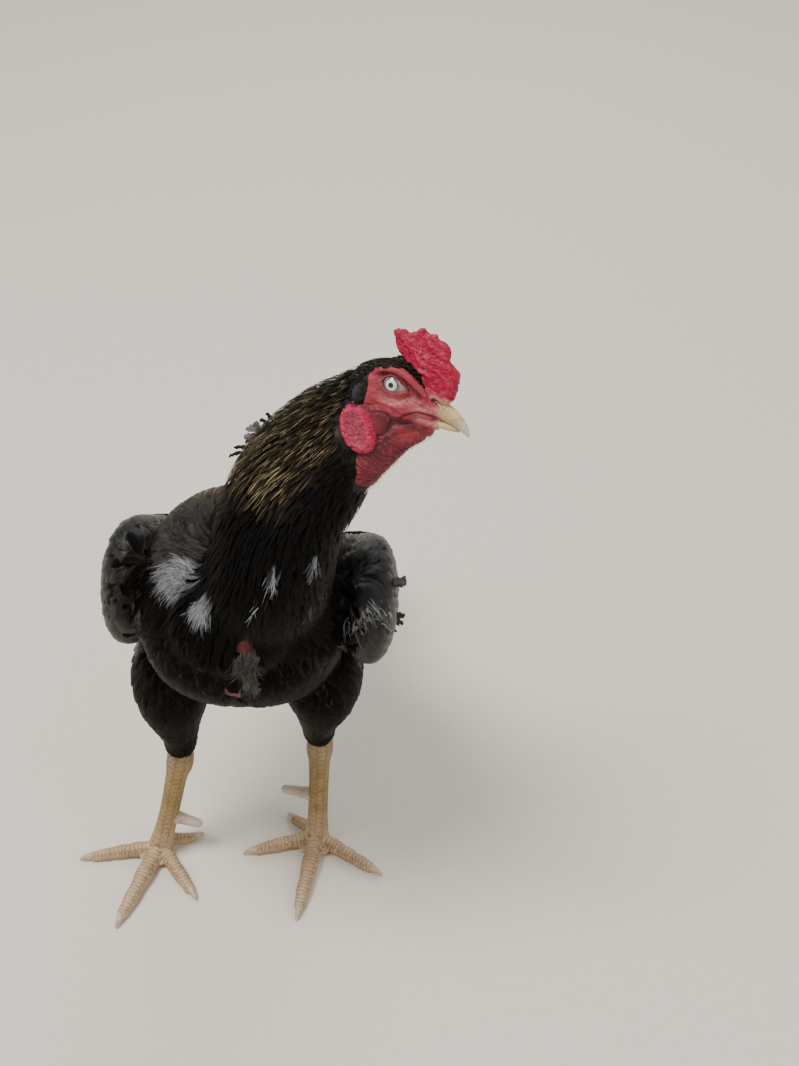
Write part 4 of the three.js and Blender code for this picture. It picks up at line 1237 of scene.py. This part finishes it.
def blotch_radius(points, centre, radii):
    return np.linalg.norm((points - centre) / radii, axis=1)


def amount_of(kind, points):
    """How much of a blotch shows at each point, 0 to 1, with a ragged edge."""
    ragged = wave_noise(points, 0.09, 31, 2) * 0.25
    shown = [smooth_step(-blotch_radius(points, *blotch) - ragged, -1.15, -0.75) for blotch in BLOTCHES[kind]]
    return np.max(shown, axis=0)


def naked(points):
    return np.maximum(amount_of("red", points), amount_of("bald", points))


def coat_tone(points, seen, form, count):
    """Root, tip and edge colours of feathers, and how much edge each shows, from where they grow and are seen."""
    shade = 1 + 0.38 * RNG.normal(0, 1, count)[:, None]
    tip = np.tile(BLACK, (count, 1)) * np.clip(shade, 0.5, 1.8)
    root = tip * 1.6 + 0.004
    neck = form == "neck"
    rim = np.tile(STRAW if neck else BROWN * 0.35, (count, 1)) * spread_of(1, 0.3, 0.4, 1.7, count)[:, None]
    edging = spread_of(0.2, 0.3, 0, 1, count) * (not neck)
    if neck:
        throat = unit(points - neck_spine()[nearest_of(points, neck_spine())]) @ THROATWARDS
        cape = smooth_step(-throat, -0.45, 0.25) * smooth_step(seen[:, 2] + 5 * wave_noise(seen, 0.06, 33), 428, 446)
        edging = cape * spread_of(0.66 - 0.34 * smooth_step(seen[:, 2], 462, 500), 0.3, 0, 1, count)
        edging = edging * np.where(RNG.random(count) < 0.30, 0.15, 1.0)
        tip = tip * (1 - cape[:, None]) + WARM_BLACK * shade * cape[:, None]
    if form in ("trunk", "tail"):
        above = smooth_step(points[:, 2] - (300 - 0.5 * points[:, 1]), 10, 40) * smooth_step(points[:, 1], -60, -10)
        brown = BROWN * above[:, None] * 0.5 * np.clip(shade, 0.4, 1.6)
        tip = tip * (1 - above[:, None] * 0.75) + brown
        rim = mixed(rim, STRAW * 0.6, above[:, None])
        edging = np.maximum(edging, above * spread_of(0.5, 0.3, 0, 1, count))
    # the greyish blotch over the shoulder lightens the feathers as a painted sheen
    for kind, colour in (("grey_and_sheen", GREY_AND_SHEEN), ("down", DOWN), ("white", WHITE * 0.62)):
        some = amount_of(kind, seen) * np.clip(RNG.normal(0.85, 0.3, count), 0.15, 1.1)
        tip = mixed(tip, colour, some[:, None])
    scruff = amount_of("scruff", seen)
    edging = np.maximum(edging, scruff * (RNG.random(count) < 0.6))
    return root, tip, mixed(rim, DOWN * 1.6, scruff[:, None]), edging


def neck_spine(count=60):
    return catmull(NECK, np.linspace(0, 1, count))[:, :3]


def nearest_of(points, spine):
    return np.argmin(((points[:, None] - spine[None]) ** 2).sum(-1), axis=1)


def plan(form, points, normals):
    """Spacing, length, half-width and coat depth of the feathers at these points."""
    flat = np.zeros(len(points))
    y, z = points[:, 1], points[:, 2]
    part = form.split("_")[0]
    depth = COAT_DEPTH[part] + flat
    if part == "neck":
        spine = neck_spine()
        index = nearest_of(points, spine)
        s = 1 - index / (len(spine) - 1)  # 0 at the head's end and 1 at the base
        throat = smooth_step(unit(points - spine[index]) @ THROATWARDS, 0.0, 0.6)
        length, half = 10 + 30 * s - 12 * s * throat, 0.85 + 0.85 * s + 2.4 * throat * s
        return 1.75 + 1.75 * s + 0.9 * throat * s, length, half, neck_depth(s)
    if part == "trunk":
        top = smooth_step(normals[:, 2], 0.25, 0.75)
        rump = smooth_step(y, 60, 120) * top
        return 4.2 + flat, 31 + 9 * top + 24 * rump, 4.3 - 0.3 * top - 1.2 * rump, depth
    if part == "wing":
        rear = smooth_step(y, -30, 70)
        return 4.0 + 2.0 * rear, 20 + 15 * rear, 4.1 + 1.9 * rear, depth - 1.5 * rear
    if part == "thigh":
        hock = LEGS[form.split("_")[1]]["hock"][2]
        low = smooth_step(-z, -(hock + 70), -(hock + 8))
        return 3.9 - 1.4 * low, 27 - 13 * low, 3.8 - 1.7 * low, depth - 1.6 * low
    return 6.5 + flat, 44 + flat, 6.0 + flat, depth


def raised(path, normal, depth, tip, power):
    """Lifts centrelines from the skin at their root to the coat's outside at their tip."""
    t = np.linspace(0, 1, path.shape[1])[None, :, None]
    return path + normal * (-depth[:, None, None] * (1 - t) ** power + tip[:, None, None] * t**1.5)


def plant_coat(coat, materials):
    points, vertex = coat.candidates(FEATHER_PLACES)
    normals, lie, form = coat.normals[vertex], coat.lie[vertex], coat.form[vertex]
    head = to_head(points)
    x, wide, z = head[:, 0], np.abs(head[:, 1]), head[:, 2]
    flat = head[:, [0, 2]]
    on_head = (x > -27) & (z > -22)
    # the first rows grow from under the lobe's free edge and the throat's lower end
    under = (inside(flat, LOBE_OUTLINE) & (x * 0.55 + z < -46) & (wide < 15.5) & (x < -9)) | (z < -78)
    bare = inside(flat, BARE) & (wide < 22) & ~under
    covered = ~(on_head | bare | (naked(points) > 0.4))
    # the wing's coverts end where its flight feathers begin to show, first along the lower edge
    flights_show = points[:, 1] - 52 > 0.6 * (points[:, 2] - (288 - 0.59 * points[:, 1]))
    for number, name in enumerate(coat.names):
        kind = "hackle" if name == "neck" else "wing" if name.startswith("wing") else "body"
        side = SIDES.get(name.split("_")[-1], 0)
        bare_wing = flights_show & (normals[:, 0] * side > -0.2) & (kind == "wing")
        chosen = np.nonzero(covered & (form == number) & ~bare_wing)[0]
        planned = plan(name, points[chosen], normals[chosen])
        keep = thinned(points[chosen], planned[0])
        _, length, half, depth = (each[keep] for each in planned)
        start, up, way = (each[chosen[keep]] for each in (points, normals, lie))
        n = len(keep)
        length = length * spread_of(1, 0.16, 0.6, 1.5, n)
        half = half * spread_of(1, 0.12, 0.7, 1.4, n)
        way = unit(way + np.cross(up, way) * (0.13 * RNG.normal(0, 1, n))[:, None])
        path, normal = coat.march(start, up, way, length, 6)
        path = raised(path, normal, depth, spread_of(0.28, 0.22, -0.2, 0.8, n), 1.7)
        # few feathers lie across a bare place
        crossing = naked(path[:, 2:].reshape(-1, 3)).reshape(n, -1).max(1) > RNG.uniform(0.2, 0.5, n)
        clear = ~crossing | (RNG.random(n) < 0.12)
        start, path, normal, half, n = start[clear], path[clear], normal[clear], half[clear], int(clear.sum())
        root, top, rim, edging = coat_tone(start, path[:, 5], name, n)
        slant, camber = (1.1, 0.07) if kind == "hackle" else (0.9, 0.14)
        pieces = max(1, int(np.ceil(n * VANE_TRIANGLES / PIECE_TRIANGLES)))
        order = np.argsort(start[:, 0], kind="stable")
        for part, group in enumerate(np.array_split(order, pieces)):
            vanes(
                f"coat_{name}" + (f"_{part + 1}" if pieces > 1 else ""), path[group], normal[group], half[group],
                unwrapped(start[group], name), root[group], rim[group], edging[group], materials[kind],
                "hackle" if kind == "hackle" else "body", 9, 4,
                jag=0.13, camber=camber, slant=slant, thick=0.14, tip_tone=top[group], soft=0.2,
            )


WISPS = {  # kind: how many on each blotch, length, half-width, how far they stand out, how much they stray, colour
    "white": ((900, 380, 26, 30), 9.5, 0.13, 0.7, 0.55, WHITE * 1.1),
    # loose greyish barbs over the shoulder add to its painted sheen
    "grey_and_sheen": ((700, 110, 90), 12.0, 0.13, 0.4, 0.30, GREY_AND_SHEEN * 1.2),
    "down": ((420, 90, 80), 9.0, 0.15, 1.0, 0.9, DOWN), "scruff": ((16, 16, 16, 4), 11.0, 0.32, 2.0, 0.8, WHITE * 0.8),
}
STRAYS = [  # single feathers that stand out: root, way, length, half-width, colour
    ((40, -47, 459), (-0.80, 0.30, 0.25), 12, 2.8, DOWN * 1.2),
    ((42, -48, 462), (-0.65, 0.30, 0.55), 9, 2.4, DOWN * 0.8),
    ((38, -46, 455), (-0.95, 0.20, -0.10), 11, 2.4, DOWN * 1.1),
    ((37, -46, 452), (-0.9, 0.2, -0.35), 9, 1.8, BLACK * 3),
    ((50, -50, 471), (-0.50, 0.25, 0.75), 9, 1.5, BLACK * 2),
    ((47, -50, 468), (-0.75, 0.25, 0.50), 8, 1.3, BLACK * 2),
    ((31, -42, 442), (-0.95, 0.25, 0.05), 12, 1.6, BLACK * 2),
    ((27, -40, 436), (-0.9, 0.3, -0.3), 13, 1.7, BLACK * 2),
    ((130, -30, 321), (0.95, 0.15, 0.25), 16, 3.4, DOWN * 0.8),
    ((130, -28, 318), (0.95, 0.15, 0.0), 12, 2.4, DOWN * 0.6),
    ((128, -26, 284), (0.95, 0.25, 0.15), 18, 2.6, BROWN * 0.7),
    ((128, -24, 279), (0.90, 0.30, -0.20), 17, 2.6, BROWN * 0.6),
    ((126, -24, 274), (0.80, 0.30, -0.50), 15, 2.0, BROWN * 0.6),
]


def plant_wisps(coat, materials):
    """Loose downy barbs over the pale patches and over the shoulder's painted sheen, and a few feathers that stand out
    on their own.
    """
    for kind, (counts, length, half, stand, stray, colour) in WISPS.items():
        index = []
        for blotch, count in zip(BLOTCHES[kind], counts):
            r = blotch_radius(coat.points, *blotch)
            close = np.nonzero(r < 1.0)[0]
            index.append(RNG.choice(close, count, p=(1.15 - r[close]) / (1.15 - r[close]).sum()))
        index = np.concatenate(index)
        n = len(index)
        start = coat.points[index] + RNG.normal(0, 1.0, (n, 3))
        up, lie = coat.normals[index], coat.lie[index]
        way = unit(lie + np.cross(up, lie) * RNG.normal(0, stray, n)[:, None])
        size = length * spread_of(1, 0.35, 0.4, 1.9, n)
        path, normal = coat.march(start, up, way, size, 6)
        t = np.linspace(0, 1, 7)[None, :, None]
        bow = np.clip(stand * (1 + 0.6 * RNG.normal(0, 1, n)), 0.1, 4)[:, None, None]
        swerve = np.cross(up, way)[:, None] * (RNG.normal(0, 0.16, n) * size)[:, None, None] * t**2
        path = path + normal * (bow * np.sin(np.pi * t * 0.8) - 0.8 * (1 - t)) + swerve
        tone = colour * spread_of(1, 0.45, 0.15, 2.2, n)[:, None]
        vanes(f"coat_{kind}", path, normal, half * spread_of(1, 0.3, 0.5, 1.8, n), unwrapped(start, "trunk"),
              tone * 0.7, tone, np.zeros(n), materials["down"], "bristle", 7, 3, tip_tone=tone, jag=0.15,
              thick=0.16)
    root, way, size, half, colour = (np.array(column, float) for column in zip(*STRAYS))
    way = unit(way)
    t = np.linspace(0, 1, 9)[None, :, None]
    sag = np.array([0, 0, -1.0])
    path = root[:, None] + size[:, None, None] * (way[:, None] * (t - 0.25) + sag * 0.22 * t**2)
    normal = unit(np.cross(way, np.cross((0, -0.4, 1.0), way)))
    vanes("coat_strays", path, np.repeat(normal[:, None], 9, 1), half, unwrapped(root, "trunk"), colour, colour * 1.5,
          np.full(len(root), 0.4), materials["down"], "body", 10, 5, jag=0.30, slant=1.2, thick=0.2)


def head_lie(points, normals):
    """The way the small feathers lie on the head: back from the bill, and down behind the cheek."""
    back, down = np.array([(-1.0, 0.0, -0.30), (-0.35, 0.0, -1.0)]) @ HEAD
    low = smooth_step(-to_head(points)[:, 2], 12, 34)[:, None]
    return unit(within(mixed(back, down, low), normals))


def plant_head(points, faces, normals, materials):
    """Small feathers of the crown and nape, the ear's bristles, and those on the throat's edge."""
    tree = surface(points, faces)
    lie = head_lie(points, normals)
    head = to_head(points)
    x, wide, z = head[:, 0], np.abs(head[:, 1]), head[:, 2]
    flat = head[:, [0, 2]]
    bare = bare_skin(head) | (inside(flat, LOBE_OUTLINE) & (wide > 11))
    ear = ear_radius(flat)
    past_ear = 1.06 + 0.8 * smooth_step(x - EAR["at"][0], -2, 3)
    crown = ~bare & ~comb_skin(head) & (ear > past_ear) & (x > -38) & (z > -80)
    grown = 1 + 1.5 * smooth_step(np.maximum(-x - 12, -z - 22), 0, 22)  # they grow longer towards the neck
    for name, mask, size, spacing, length, half, depth, tip, slot, profile, colour in (
        ("crown", crown, grown, 1.1, 4.6, 0.70, 0.15, 0.75, "hackle", "body", (0.0095, 0.0074, 0.0056)),
        ("ear", (ear > 0.80) & (ear < 1.22) & (wide > 9), np.ones(len(x)), 0.75, 2.6, 0.20, 0.2, 0.3, "ear_feathers",
            "bristle",
         (0.030, 0.028, 0.029)),
    ):
        index = RNG.permutation(np.nonzero(mask)[0])
        index = index[thinned(points[index], spacing * (0.45 + 0.55 * size[index]))]
        n, grow = len(index), size[index]
        start, up = points[index], normals[index]
        way = unit(lie[index] + np.cross(up, lie[index]) * (0.22 * RNG.normal(0, 1, n))[:, None])
        path, normal = march(tree, points, normals, lie, start, up, way, length * grow * spread_of(1, 0.2, 0.5, 1.6, n),
            4)
        path = raised(path, normal, np.full(n, depth), tip * spread_of(1, 0.25, 0.5, 1.6, n), 2.5)
        path = path + normal * (0.30 * np.sin(np.pi * np.linspace(0, 1, 5)) ** 0.7)[None, :, None]
        tone = np.array(colour) * spread_of(1, 0.4, 0.4, 2.2, n)[:, None]
        fleck = np.clip(RNG.normal(0.18, 0.3, n), 0, 1) if name == "crown" else np.zeros(n)
        vanes(f"coat_{name}", path, normal, half * grow**0.8, unwrapped(start, "head"), tone,
            STRAW * 0.8 * np.ones((n, 1)), fleck,
              materials["small"], profile, 6, 3, thick=0.14, jag=0.1, slant=0.8)
    # sparse dark bristles stand out along the front and lower edge of the throat
    front = (z < -24) & (distance_to(flat, polyline(THROAT_FRONT))[0] < 6.0)
    index = RNG.permutation(np.nonzero(bare & (front | (z < -70)))[0])
    index = index[thinned(points[index], np.full(len(index), 1.15))]
    n = len(index)
    start, up = points[index], normals[index]
    lengths = spread_of(2.8, 0.8, 1.4, 5, n)
    way = unit(lie[index] + (0, 0, -0.8) + 0.22 * RNG.normal(0, 1, (n, 3)))
    t = np.linspace(0, 1, 5)[None, :, None]
    stand = spread_of(0.32, 0.15, 0.08, 0.8, n)[:, None, None]
    bowed = way[:, None] * t + up[:, None] * stand * (t - 0.35 * t**2)
    path = start[:, None] + lengths[:, None, None] * bowed - up[:, None] * 0.4
    tone = np.array([0.030, 0.022, 0.016]) * spread_of(1, 0.4, 0.4, 2, n)[:, None]
    vanes("coat_throat", path, np.repeat(up[:, None], 5, 1), np.full(n, 0.17), unwrapped(start, "head"), tone, tone * 3,
          np.full(n, 0.2), materials["small"], "bristle", 5, 3, thick=0.12, jag=0.1, slant=0.4)


# ---------------------------------------------------------------- quills of the wings and tail
def ring_path(rows, t, angle, side, power, lift):
    """Paths over a loft's outside at parameters t (m, k) and angles (0 outwards, 90 degrees up)."""
    shape = (*t.shape, 3)
    t, angle = t.reshape(-1), angle.reshape(-1)
    inner, ahead = catmull(rows, t), run_of(rows, t, 0.02)
    out = np.tile(np.array([side, 0.0, 0.0]), (len(t), 1))
    up = unit(np.cross(ahead, out)) * -side
    up = np.where(up[:, 2:3] < 0, -up, up)
    c, s = np.cos(angle), np.sin(angle)
    beyond = np.maximum(t - 1, 0)[:, None] * np.linalg.norm(rows[-1, :3] - rows[0, :3])
    points = inner[:, :3] + ahead * beyond
    points = points + out * (inner[:, 3] * squared(c, power))[:, None] + up * (inner[:, 4] * squared(s, power))[:, None]
    normal = unit(out * (c / inner[:, 3])[:, None] + up * (s / inner[:, 4])[:, None])
    return (points + normal * lift.reshape(-1)[:, None]).reshape(shape), normal.reshape(shape)


QUILLS = {  # how many; the first one's start, end, angles and lifts at both; how these change to the last one's;
    # half-width, the loft's power, tone, edging
    "secondaries": (12, (0.30, 0.86, -72, -58, -2.5, -0.6), (0.10, -0.06, 140, 118, 1.5, 2.0), 8.2, 2.3, 1.25, 0.12),
    "primaries": (8, (0.40, 1.04, -80, -60, -4.2, -2.0), (0, -0.05, 40, 62, 0.5, 1.0), 6.6, 2.3, 1.3, 0.05),
    "tail_feathers": (7, (0, 1.0, 82, 74, -3.0, 0.6), (0.02, -0.12, -132, -118, -1.5, -1.6), 10.5, 2.0, 1.2, 0.0),
    "sickles": (6, (0, 1.02, 70, 20, 0.8, 0.6), (0.10, -0.42, -130, -60, -1.0, 0),
                (6.6, 6.4, 6.2, 6.0, 5.6, 5.2), 2.0, 1.1, 0.0),
}
SICKLE_SPREAD = 24
SICKLE_CLUSTERS = [(1, 1), (0.66, 0.86), (0.34, 0.74)]  # the sickle, and lesser ones inside it: how far out, length


def quills(kind, number, rows, name, material, size=1, steps=14):
    """Long feathers side by side on a loft."""
    n, first, change, half, power, tone, edging = QUILLS[kind]
    spec = np.array(first) + np.array(change) * np.linspace(0, 1, n)[:, None]
    spec[:, 1] *= size
    s = np.linspace(0, 1, steps + 1)[None]
    t, angle, lift = (spec[:, k:k + 1] + (spec[:, k + 1:k + 2] - spec[:, k:k + 1]) * s for k in (0, 2, 4))
    path, normal = ring_path(rows, t, np.radians(angle), SIDES[name], power, lift)
    tone = np.tile(BLACK * tone, (n, 1)) * spread_of(1, 0.2, 0.6, 1.5, n)[:, None]
    vanes(f"{kind}{number}_{name}", path, normal, half * np.ones(n), unwrapped(path[:, 0], "flights"), tone,
          np.tile(BROWN, (n, 1)), np.full(n, edging), material, "flight", 22, 7,
          jag=0.045, camber=0.10, slant=0.7, thick=0.45)


def make_quills(material):
    for name, side in SIDES.items():
        wing = wing_rows(name)
        for kind, rows in (("secondaries", wing), ("primaries", wing), ("tail_feathers", TAIL_ROWS)):
            quills(kind, "", rows, name, material)
        for number, (out, size) in enumerate(SICKLE_CLUSTERS, 1):
            rows = np.array([(MID + side * x, *row) for x, *row in SICKLE], float)
            rows[:, 0] -= side * (1 - out) * SICKLE_SPREAD
            quills("sickles", f"_{number}", rows, name, material, size)


# ---------------------------------------------------------------- eyes, bill, claws and spurs
UPPER_BILL = [
    (22, 0, -8.6, 6.7, 6.2), (28, 0, -9.2, 6.6, 6.1), (33, 0, -10.2, 6.2, 5.6), (40.5, 0, -12.6, 4.9, 4.7),
    (46, 0, -15.6, 3.5, 3.4), (49.6, 0, -18.2, 2.3, 2.3), (51.8, 0, -20.4, 1.3, 1.4),
]
LOWER_BILL = [
    (22, 0, -18.9, 4.9, 3.0), (30, 0, -18.6, 4.8, 3.1), (38, 0, -18.7, 3.7, 2.6), (43, 0, -19.3, 2.3, 1.7),
    (45, 0, -19.8, 1.2, 0.9),
]
SPUR = {"length": {"left": 23, "right": 19}, "root": 5.9, "tip": 3.8,
    "way": {"left": (0.25, -0.1), "right": (-0.02, -0.34)}}


def make_eye(name, side, material):
    eye, faces = ball((0, 0, 0), (1, 1, 1), 80)
    eye = eye[:, [0, 2, 1]]  # the poles lie across the head, so that the rings run round the pupil
    angle = np.degrees(np.arccos(np.clip(eye[:, 1] * side, -1, 1)))
    cornea = 1 + 0.035 * bell(angle, 34)
    verts = eye * (EYE["radius"] * cornea)[:, None] + (0, side * EYE["side"], 0)
    disc = np.hypot(verts[:, 0], verts[:, 2]) + np.where(angle > 90, 20, 0)
    film = ball((3.4, side * 7.6, -0.8), (8.6, 6.0, 5.6), 40)
    verts, faces = joined([(verts, [f[::-1] for f in faces]), film])
    piece = make(f"eyeball_{name}", from_head(verts), faces, material, [f"eye_{name}"])
    write(piece.data, "disc", np.concatenate([disc, np.full(len(film[0]), 6.6)]))
    write(piece.data, "turn", np.arctan2(verts[:, 2], verts[:, 0]) / (2 * np.pi))


def eye_material():
    made = Nodes("eye", 0.05, Coat_Weight=1.0, Coat_Roughness=0.02, IOR=1.38)
    disc = made.attribute("disc")
    round_pupil = (made.math("MULTIPLY", made.attribute("turn"), 60.0), made.math("MULTIPLY", disc, 0.9), 0.0)
    rays = made.noise(1.0, 2.0, made.node("ShaderNodeCombineXYZ", *round_pupil).outputs[0])
    colour = made.mix(made.ramp(rays, 0.3, 0.7), (0.52, 0.50, 0.46), (0.78, 0.77, 0.74))
    for low, high, paint in (  # the iris's inner edge, the pupil, the dark ring round the iris, the white
        (2.15, 1.75, (0.36, 0.33, 0.29)), (1.72, 1.5, (0.004, 0.004, 0.005)), (3.35, 3.85, (0.095, 0.070, 0.070)),
        (4.1, 5.6, (0.30, 0.17, 0.165)),
    ):
        colour = made.mix(made.ramp(disc, low, high), colour, paint)
    return made.into(Base_Color=colour, Normal=made.bump(made.noise(1600.0, 2.0), 0.00004, 0.3))


def make_bill(materials):
    upper, faces = loft(UPPER_BILL, ACROSS, ring=56, steps=70, caps=(0.4, 0.9))
    top = smooth_step(upper[:, 2] - np.interp(upper[:, 0], *np.array(UPPER_BILL)[:, [0, 2]].T), 0.0, 4.0)
    upper[:, 1] *= 1 - 0.26 * top  # a culmen: the ridge is narrower than the cutting edges
    upper = upper + 0.06 * np.sin(upper[:, :1] * 2.2 + 0.4 * wave_noise(upper, 0.3, 41)[:, None]) * (0, 0, 1)
    for part, (verts, faces) in (("upper", (upper, faces)), ("lower", loft(LOWER_BILL, ACROSS, caps=(0.4, 0.9)))):
        piece = make(f"bill_horn_{part}", from_head(verts), faces, materials["bill"], [f"bill_{part}"])
        write(piece.data, "reach", verts[:, 0])
        write(piece.data, "high", verts[:, 2] + 20)


def bill_material():
    made = Nodes("bill", 0.34, Coat_Weight=0.25, Coat_Roughness=0.2, Subsurface_Weight=0.10, Subsurface_Scale=0.003)
    reach = made.attribute("reach")
    streak = made.noise(260.0, 4.0, made.node("ShaderNodeMapping", made.place(), Scale=(0.4, 1.0, 1.4)).outputs[0])
    base = made.mix(made.ramp(streak, 0.35, 0.7), (0.44, 0.285, 0.125), (0.66, 0.48, 0.25))
    tip = made.mix(made.ramp(reach, 41.0, 51.0), base, (0.52, 0.44, 0.33))
    ridge = made.mix(made.math("MULTIPLY", made.ramp(made.attribute("high"), 12.0, 15.5), 0.5), tip, (0.32, 0.22, 0.13))
    return made.into(Base_Color=ridge, Normal=horn_bump(made, reach, streak, 3.6, 4.0, 0.3, 0.00018))


def horn_bump(made, reach, streak, layers, wander, height, distance):
    """Horn grows in layers across it, and is streaked along it."""
    waves = made.math("SINE", made.math("MULTIPLY_ADD", reach, layers, made.math("MULTIPLY", streak, wander)))
    return made.bump(made.math("MULTIPLY_ADD", waves, height, streak), distance, 0.6)


def make_claws(materials):
    def horn(name, verts, faces, node, along):
        piece = make(name, verts, faces, materials["claw"], [node])
        write(piece.data, "reach", along)

    for name, leg in LEGS.items():
        foot, hock = ends_of(leg)
        for toe, (reach, _, end, claw, _) in TOES.items():
            form = [(-4, 0.86, 0.72), (0, 0.92, 0.74), (3, 0.88, 0.62), (claw * 0.62, 0.66, 0.40),
                (claw - 2.5, 0.36, 0.19)]
            rows = [(reach + x - 2, 0, end * up, end * size * 0.86, end * size) for x, up, size in form]
            verts, faces = loft(rows, ACROSS, ring=28, steps=30, caps=(0.4, 0.9))
            verts[:, 2] = np.maximum(verts[:, 2], 0.15)
            nail = placed(verts, heading(leg, toe), foot)
            horn(f"nail_{toe}_{name}", nail, faces, f"claw_{toe}_{name}", (verts[:, 0] - reach) / claw)
        root = foot + (hock - foot) * leg["spur"] / hock[2]
        inwards, length = unit((-SIDES[name], *SPUR["way"][name])), SPUR["length"][name]
        rows = []
        for t in np.linspace(0, 1, 8):
            radius = SPUR["root"] + (SPUR["tip"] - SPUR["root"]) * t + (0.9 * (1 - t / 0.3) if t < 0.3 else 0)
            p = root + inwards * (SHANK["middle"] * 0.4 + (length + 3.6) * t)
            rows.append((*p, radius * (1 + 0.05 * math.sin(9 * t)), radius))
        verts, faces = loft(rows, (0, 0, 1), ring=32, steps=40, caps=(0.5, 0.95))
        horn(f"spur_horn_{name}", verts, faces, f"spur_{name}", ((verts - root) @ inwards) / length)


def claw_material():
    made = Nodes("claw", 0.42, Coat_Weight=0.15, Coat_Roughness=0.3)
    streak, reach = made.noise(420.0, 4.0), made.attribute("reach")
    base = made.mix(made.ramp(streak, 0.3, 0.7), (0.36, 0.26, 0.16), (0.56, 0.45, 0.33))
    tip = made.mix(made.ramp(reach, 0.55, 1.05), base, (0.50, 0.42, 0.33))
    return made.into(Base_Color=tip, Normal=horn_bump(made, reach, streak, 34.0, 6.0, 0.25, 0.0002))


def skin_material(name, roughness, gloss, grain, depth, subsurface):
    made = Nodes(name, roughness, Specular_IOR_Level=gloss, Subsurface_Weight=subsurface, Subsurface_Scale=0.0025,
                 Subsurface_Radius=(1.0, 0.3, 0.2))
    fine, broad = made.noise(grain), made.noise(grain * 0.18)
    tone = made.attribute("tone", "Color")
    darker = made.mix(made.math("MULTIPLY", made.ramp(fine, 0.55, 0.3), 0.45), tone, (0.02, 0.006, 0.006))
    paler = made.mix(0.5, tone, (0.9, 0.6, 0.5))
    colour = made.mix(made.math("MULTIPLY", made.ramp(broad, 0.5, 0.75), 0.12), darker, paler)
    return made.into(Base_Color=colour, Normal=made.bump(fine, depth, 0.8))


# ---------------------------------------------------------------- the whole bird
HEAD_FLESH = ["head", "throat", "earlobe_left", "earlobe_right", "ear_left", "ear_right", "comb"]


def body_tone(points):
    """The skin under the coat carries the coat's markings."""
    tone = np.tile(BLACK * 1.6, (len(points), 1))
    red = RED_SKIN * (1 + 0.2 * wave_noise(points, 0.3, 51)[:, None])
    for kind, paint, most in (("red", red, 1), ("bald", BALD_SKIN, 1), ("white", WHITE * 0.6, 0.4)):
        tone = mixed(tone, paint, amount_of(kind, points)[:, None] * most)
    return np.clip(tone, 0.002, 1)


def make_skin(materials):
    """The one skin: head, body and legs, whose joins lie under the feathers. Returns the head's points and faces."""
    verts, faces, normals = fused(head_shapes(), voxel=0.55, smooth=3)
    moved, kinds = sculpt_head(verts, normals)
    # where feathers cover it, it lies a little deeper
    behind = np.maximum(smooth_step(-verts[:, 0], 25, 33), smooth_step(-verts[:, 2], 46, 58))
    moved -= normals * (~(kinds["bare"] | kinds["comb"]) * (0.8 + 3.0 * behind))[:, None]
    parts = [(from_head(moved), faces, paint_head(verts, kinds), 0)]
    for leg in LEGS.values():
        verts, faces, normals = fused(leg_shapes(leg), voxel=0.6, smooth=2)
        moved, *chart = scale_leg(verts, normals, leg)
        parts.append((moved, faces, paint_leg(moved, *chart), 1))
    verts, faces, _ = fused(list(body_forms(1).values()), voxel=3.0, smooth=4)
    parts.append((verts, faces, body_tone(verts), 2))
    points, polygons = joined([part[:2] for part in parts])
    nodes = HEAD_FLESH + ["neck", "trunk", "tail_main"]
    for name in SIDES:
        nodes += [f"{part}_{name}" for part in ("wing_coverts", "wing_flights", "drumstick", "shank", "tail_sickle")]
        nodes += [f"toe_{toe}_{name}" for toe in TOES]
    skin = make("skin", points, polygons, materials["face"], nodes)
    for kind in ("legs", "under"):
        skin.data.materials.append(materials[kind])
    slots = np.concatenate([np.full(len(faces), slot, np.int32) for _, faces, _, slot in parts])
    skin.data.polygons.foreach_set("material_index", slots)
    write(skin.data, "tone", np.concatenate([part[2] for part in parts]))
    head_points, head_faces = parts[0][:2]
    return head_points, head_faces, vectors(skin.data.vertex_normals, "vector")[:len(head_points)]


SKINS = {  # name, roughness, gloss, grain, the grain's depth, subsurface
    "face": ("face_skin", 0.44, 0.22, 1500.0, 0.00022, 0.05),
    "legs": ("leg_scales", 0.50, 0.25, 1300.0, 0.00020, 0.04),
    "under": ("under_coat", 0.7, 0.3, 700.0, 0.0004, 0.0),
}
FEATHERS = {  # name, roughness, gloss, barbs along a vane
    "body": ("plumage", 0.38, 0.022, 16.0), "wing": ("wing_plumage", 0.30, 0.28, 16.0),
    "hackle": ("hackle", 0.44, 0.07, 12.0),
    "flight": ("flight_feathers", 0.42, 0.14, 60.0), "small": ("head_feathers", 0.55, 0.10, 6.0),
    "down": ("down", 0.7, 0.2, 8.0),
}


def make_bird():
    materials = {"bill": bill_material(), "claw": claw_material(), "eye": eye_material()}
    materials.update({kind: skin_material(*spec) for kind, spec in SKINS.items()})
    materials.update({kind: feather_material(*spec) for kind, spec in FEATHERS.items()})
    head = make_skin(materials)
    for name, side in SIDES.items():
        make_eye(name, side, materials["eye"])
    make_bill(materials)
    make_claws(materials)
    plant_head(*head, materials)
    make_quills(materials["flight"])
    coat = Coat()
    plant_coat(coat, materials)
    plant_wisps(coat, materials)


make_camera()
make_floor()
make_lights()
make_bird()
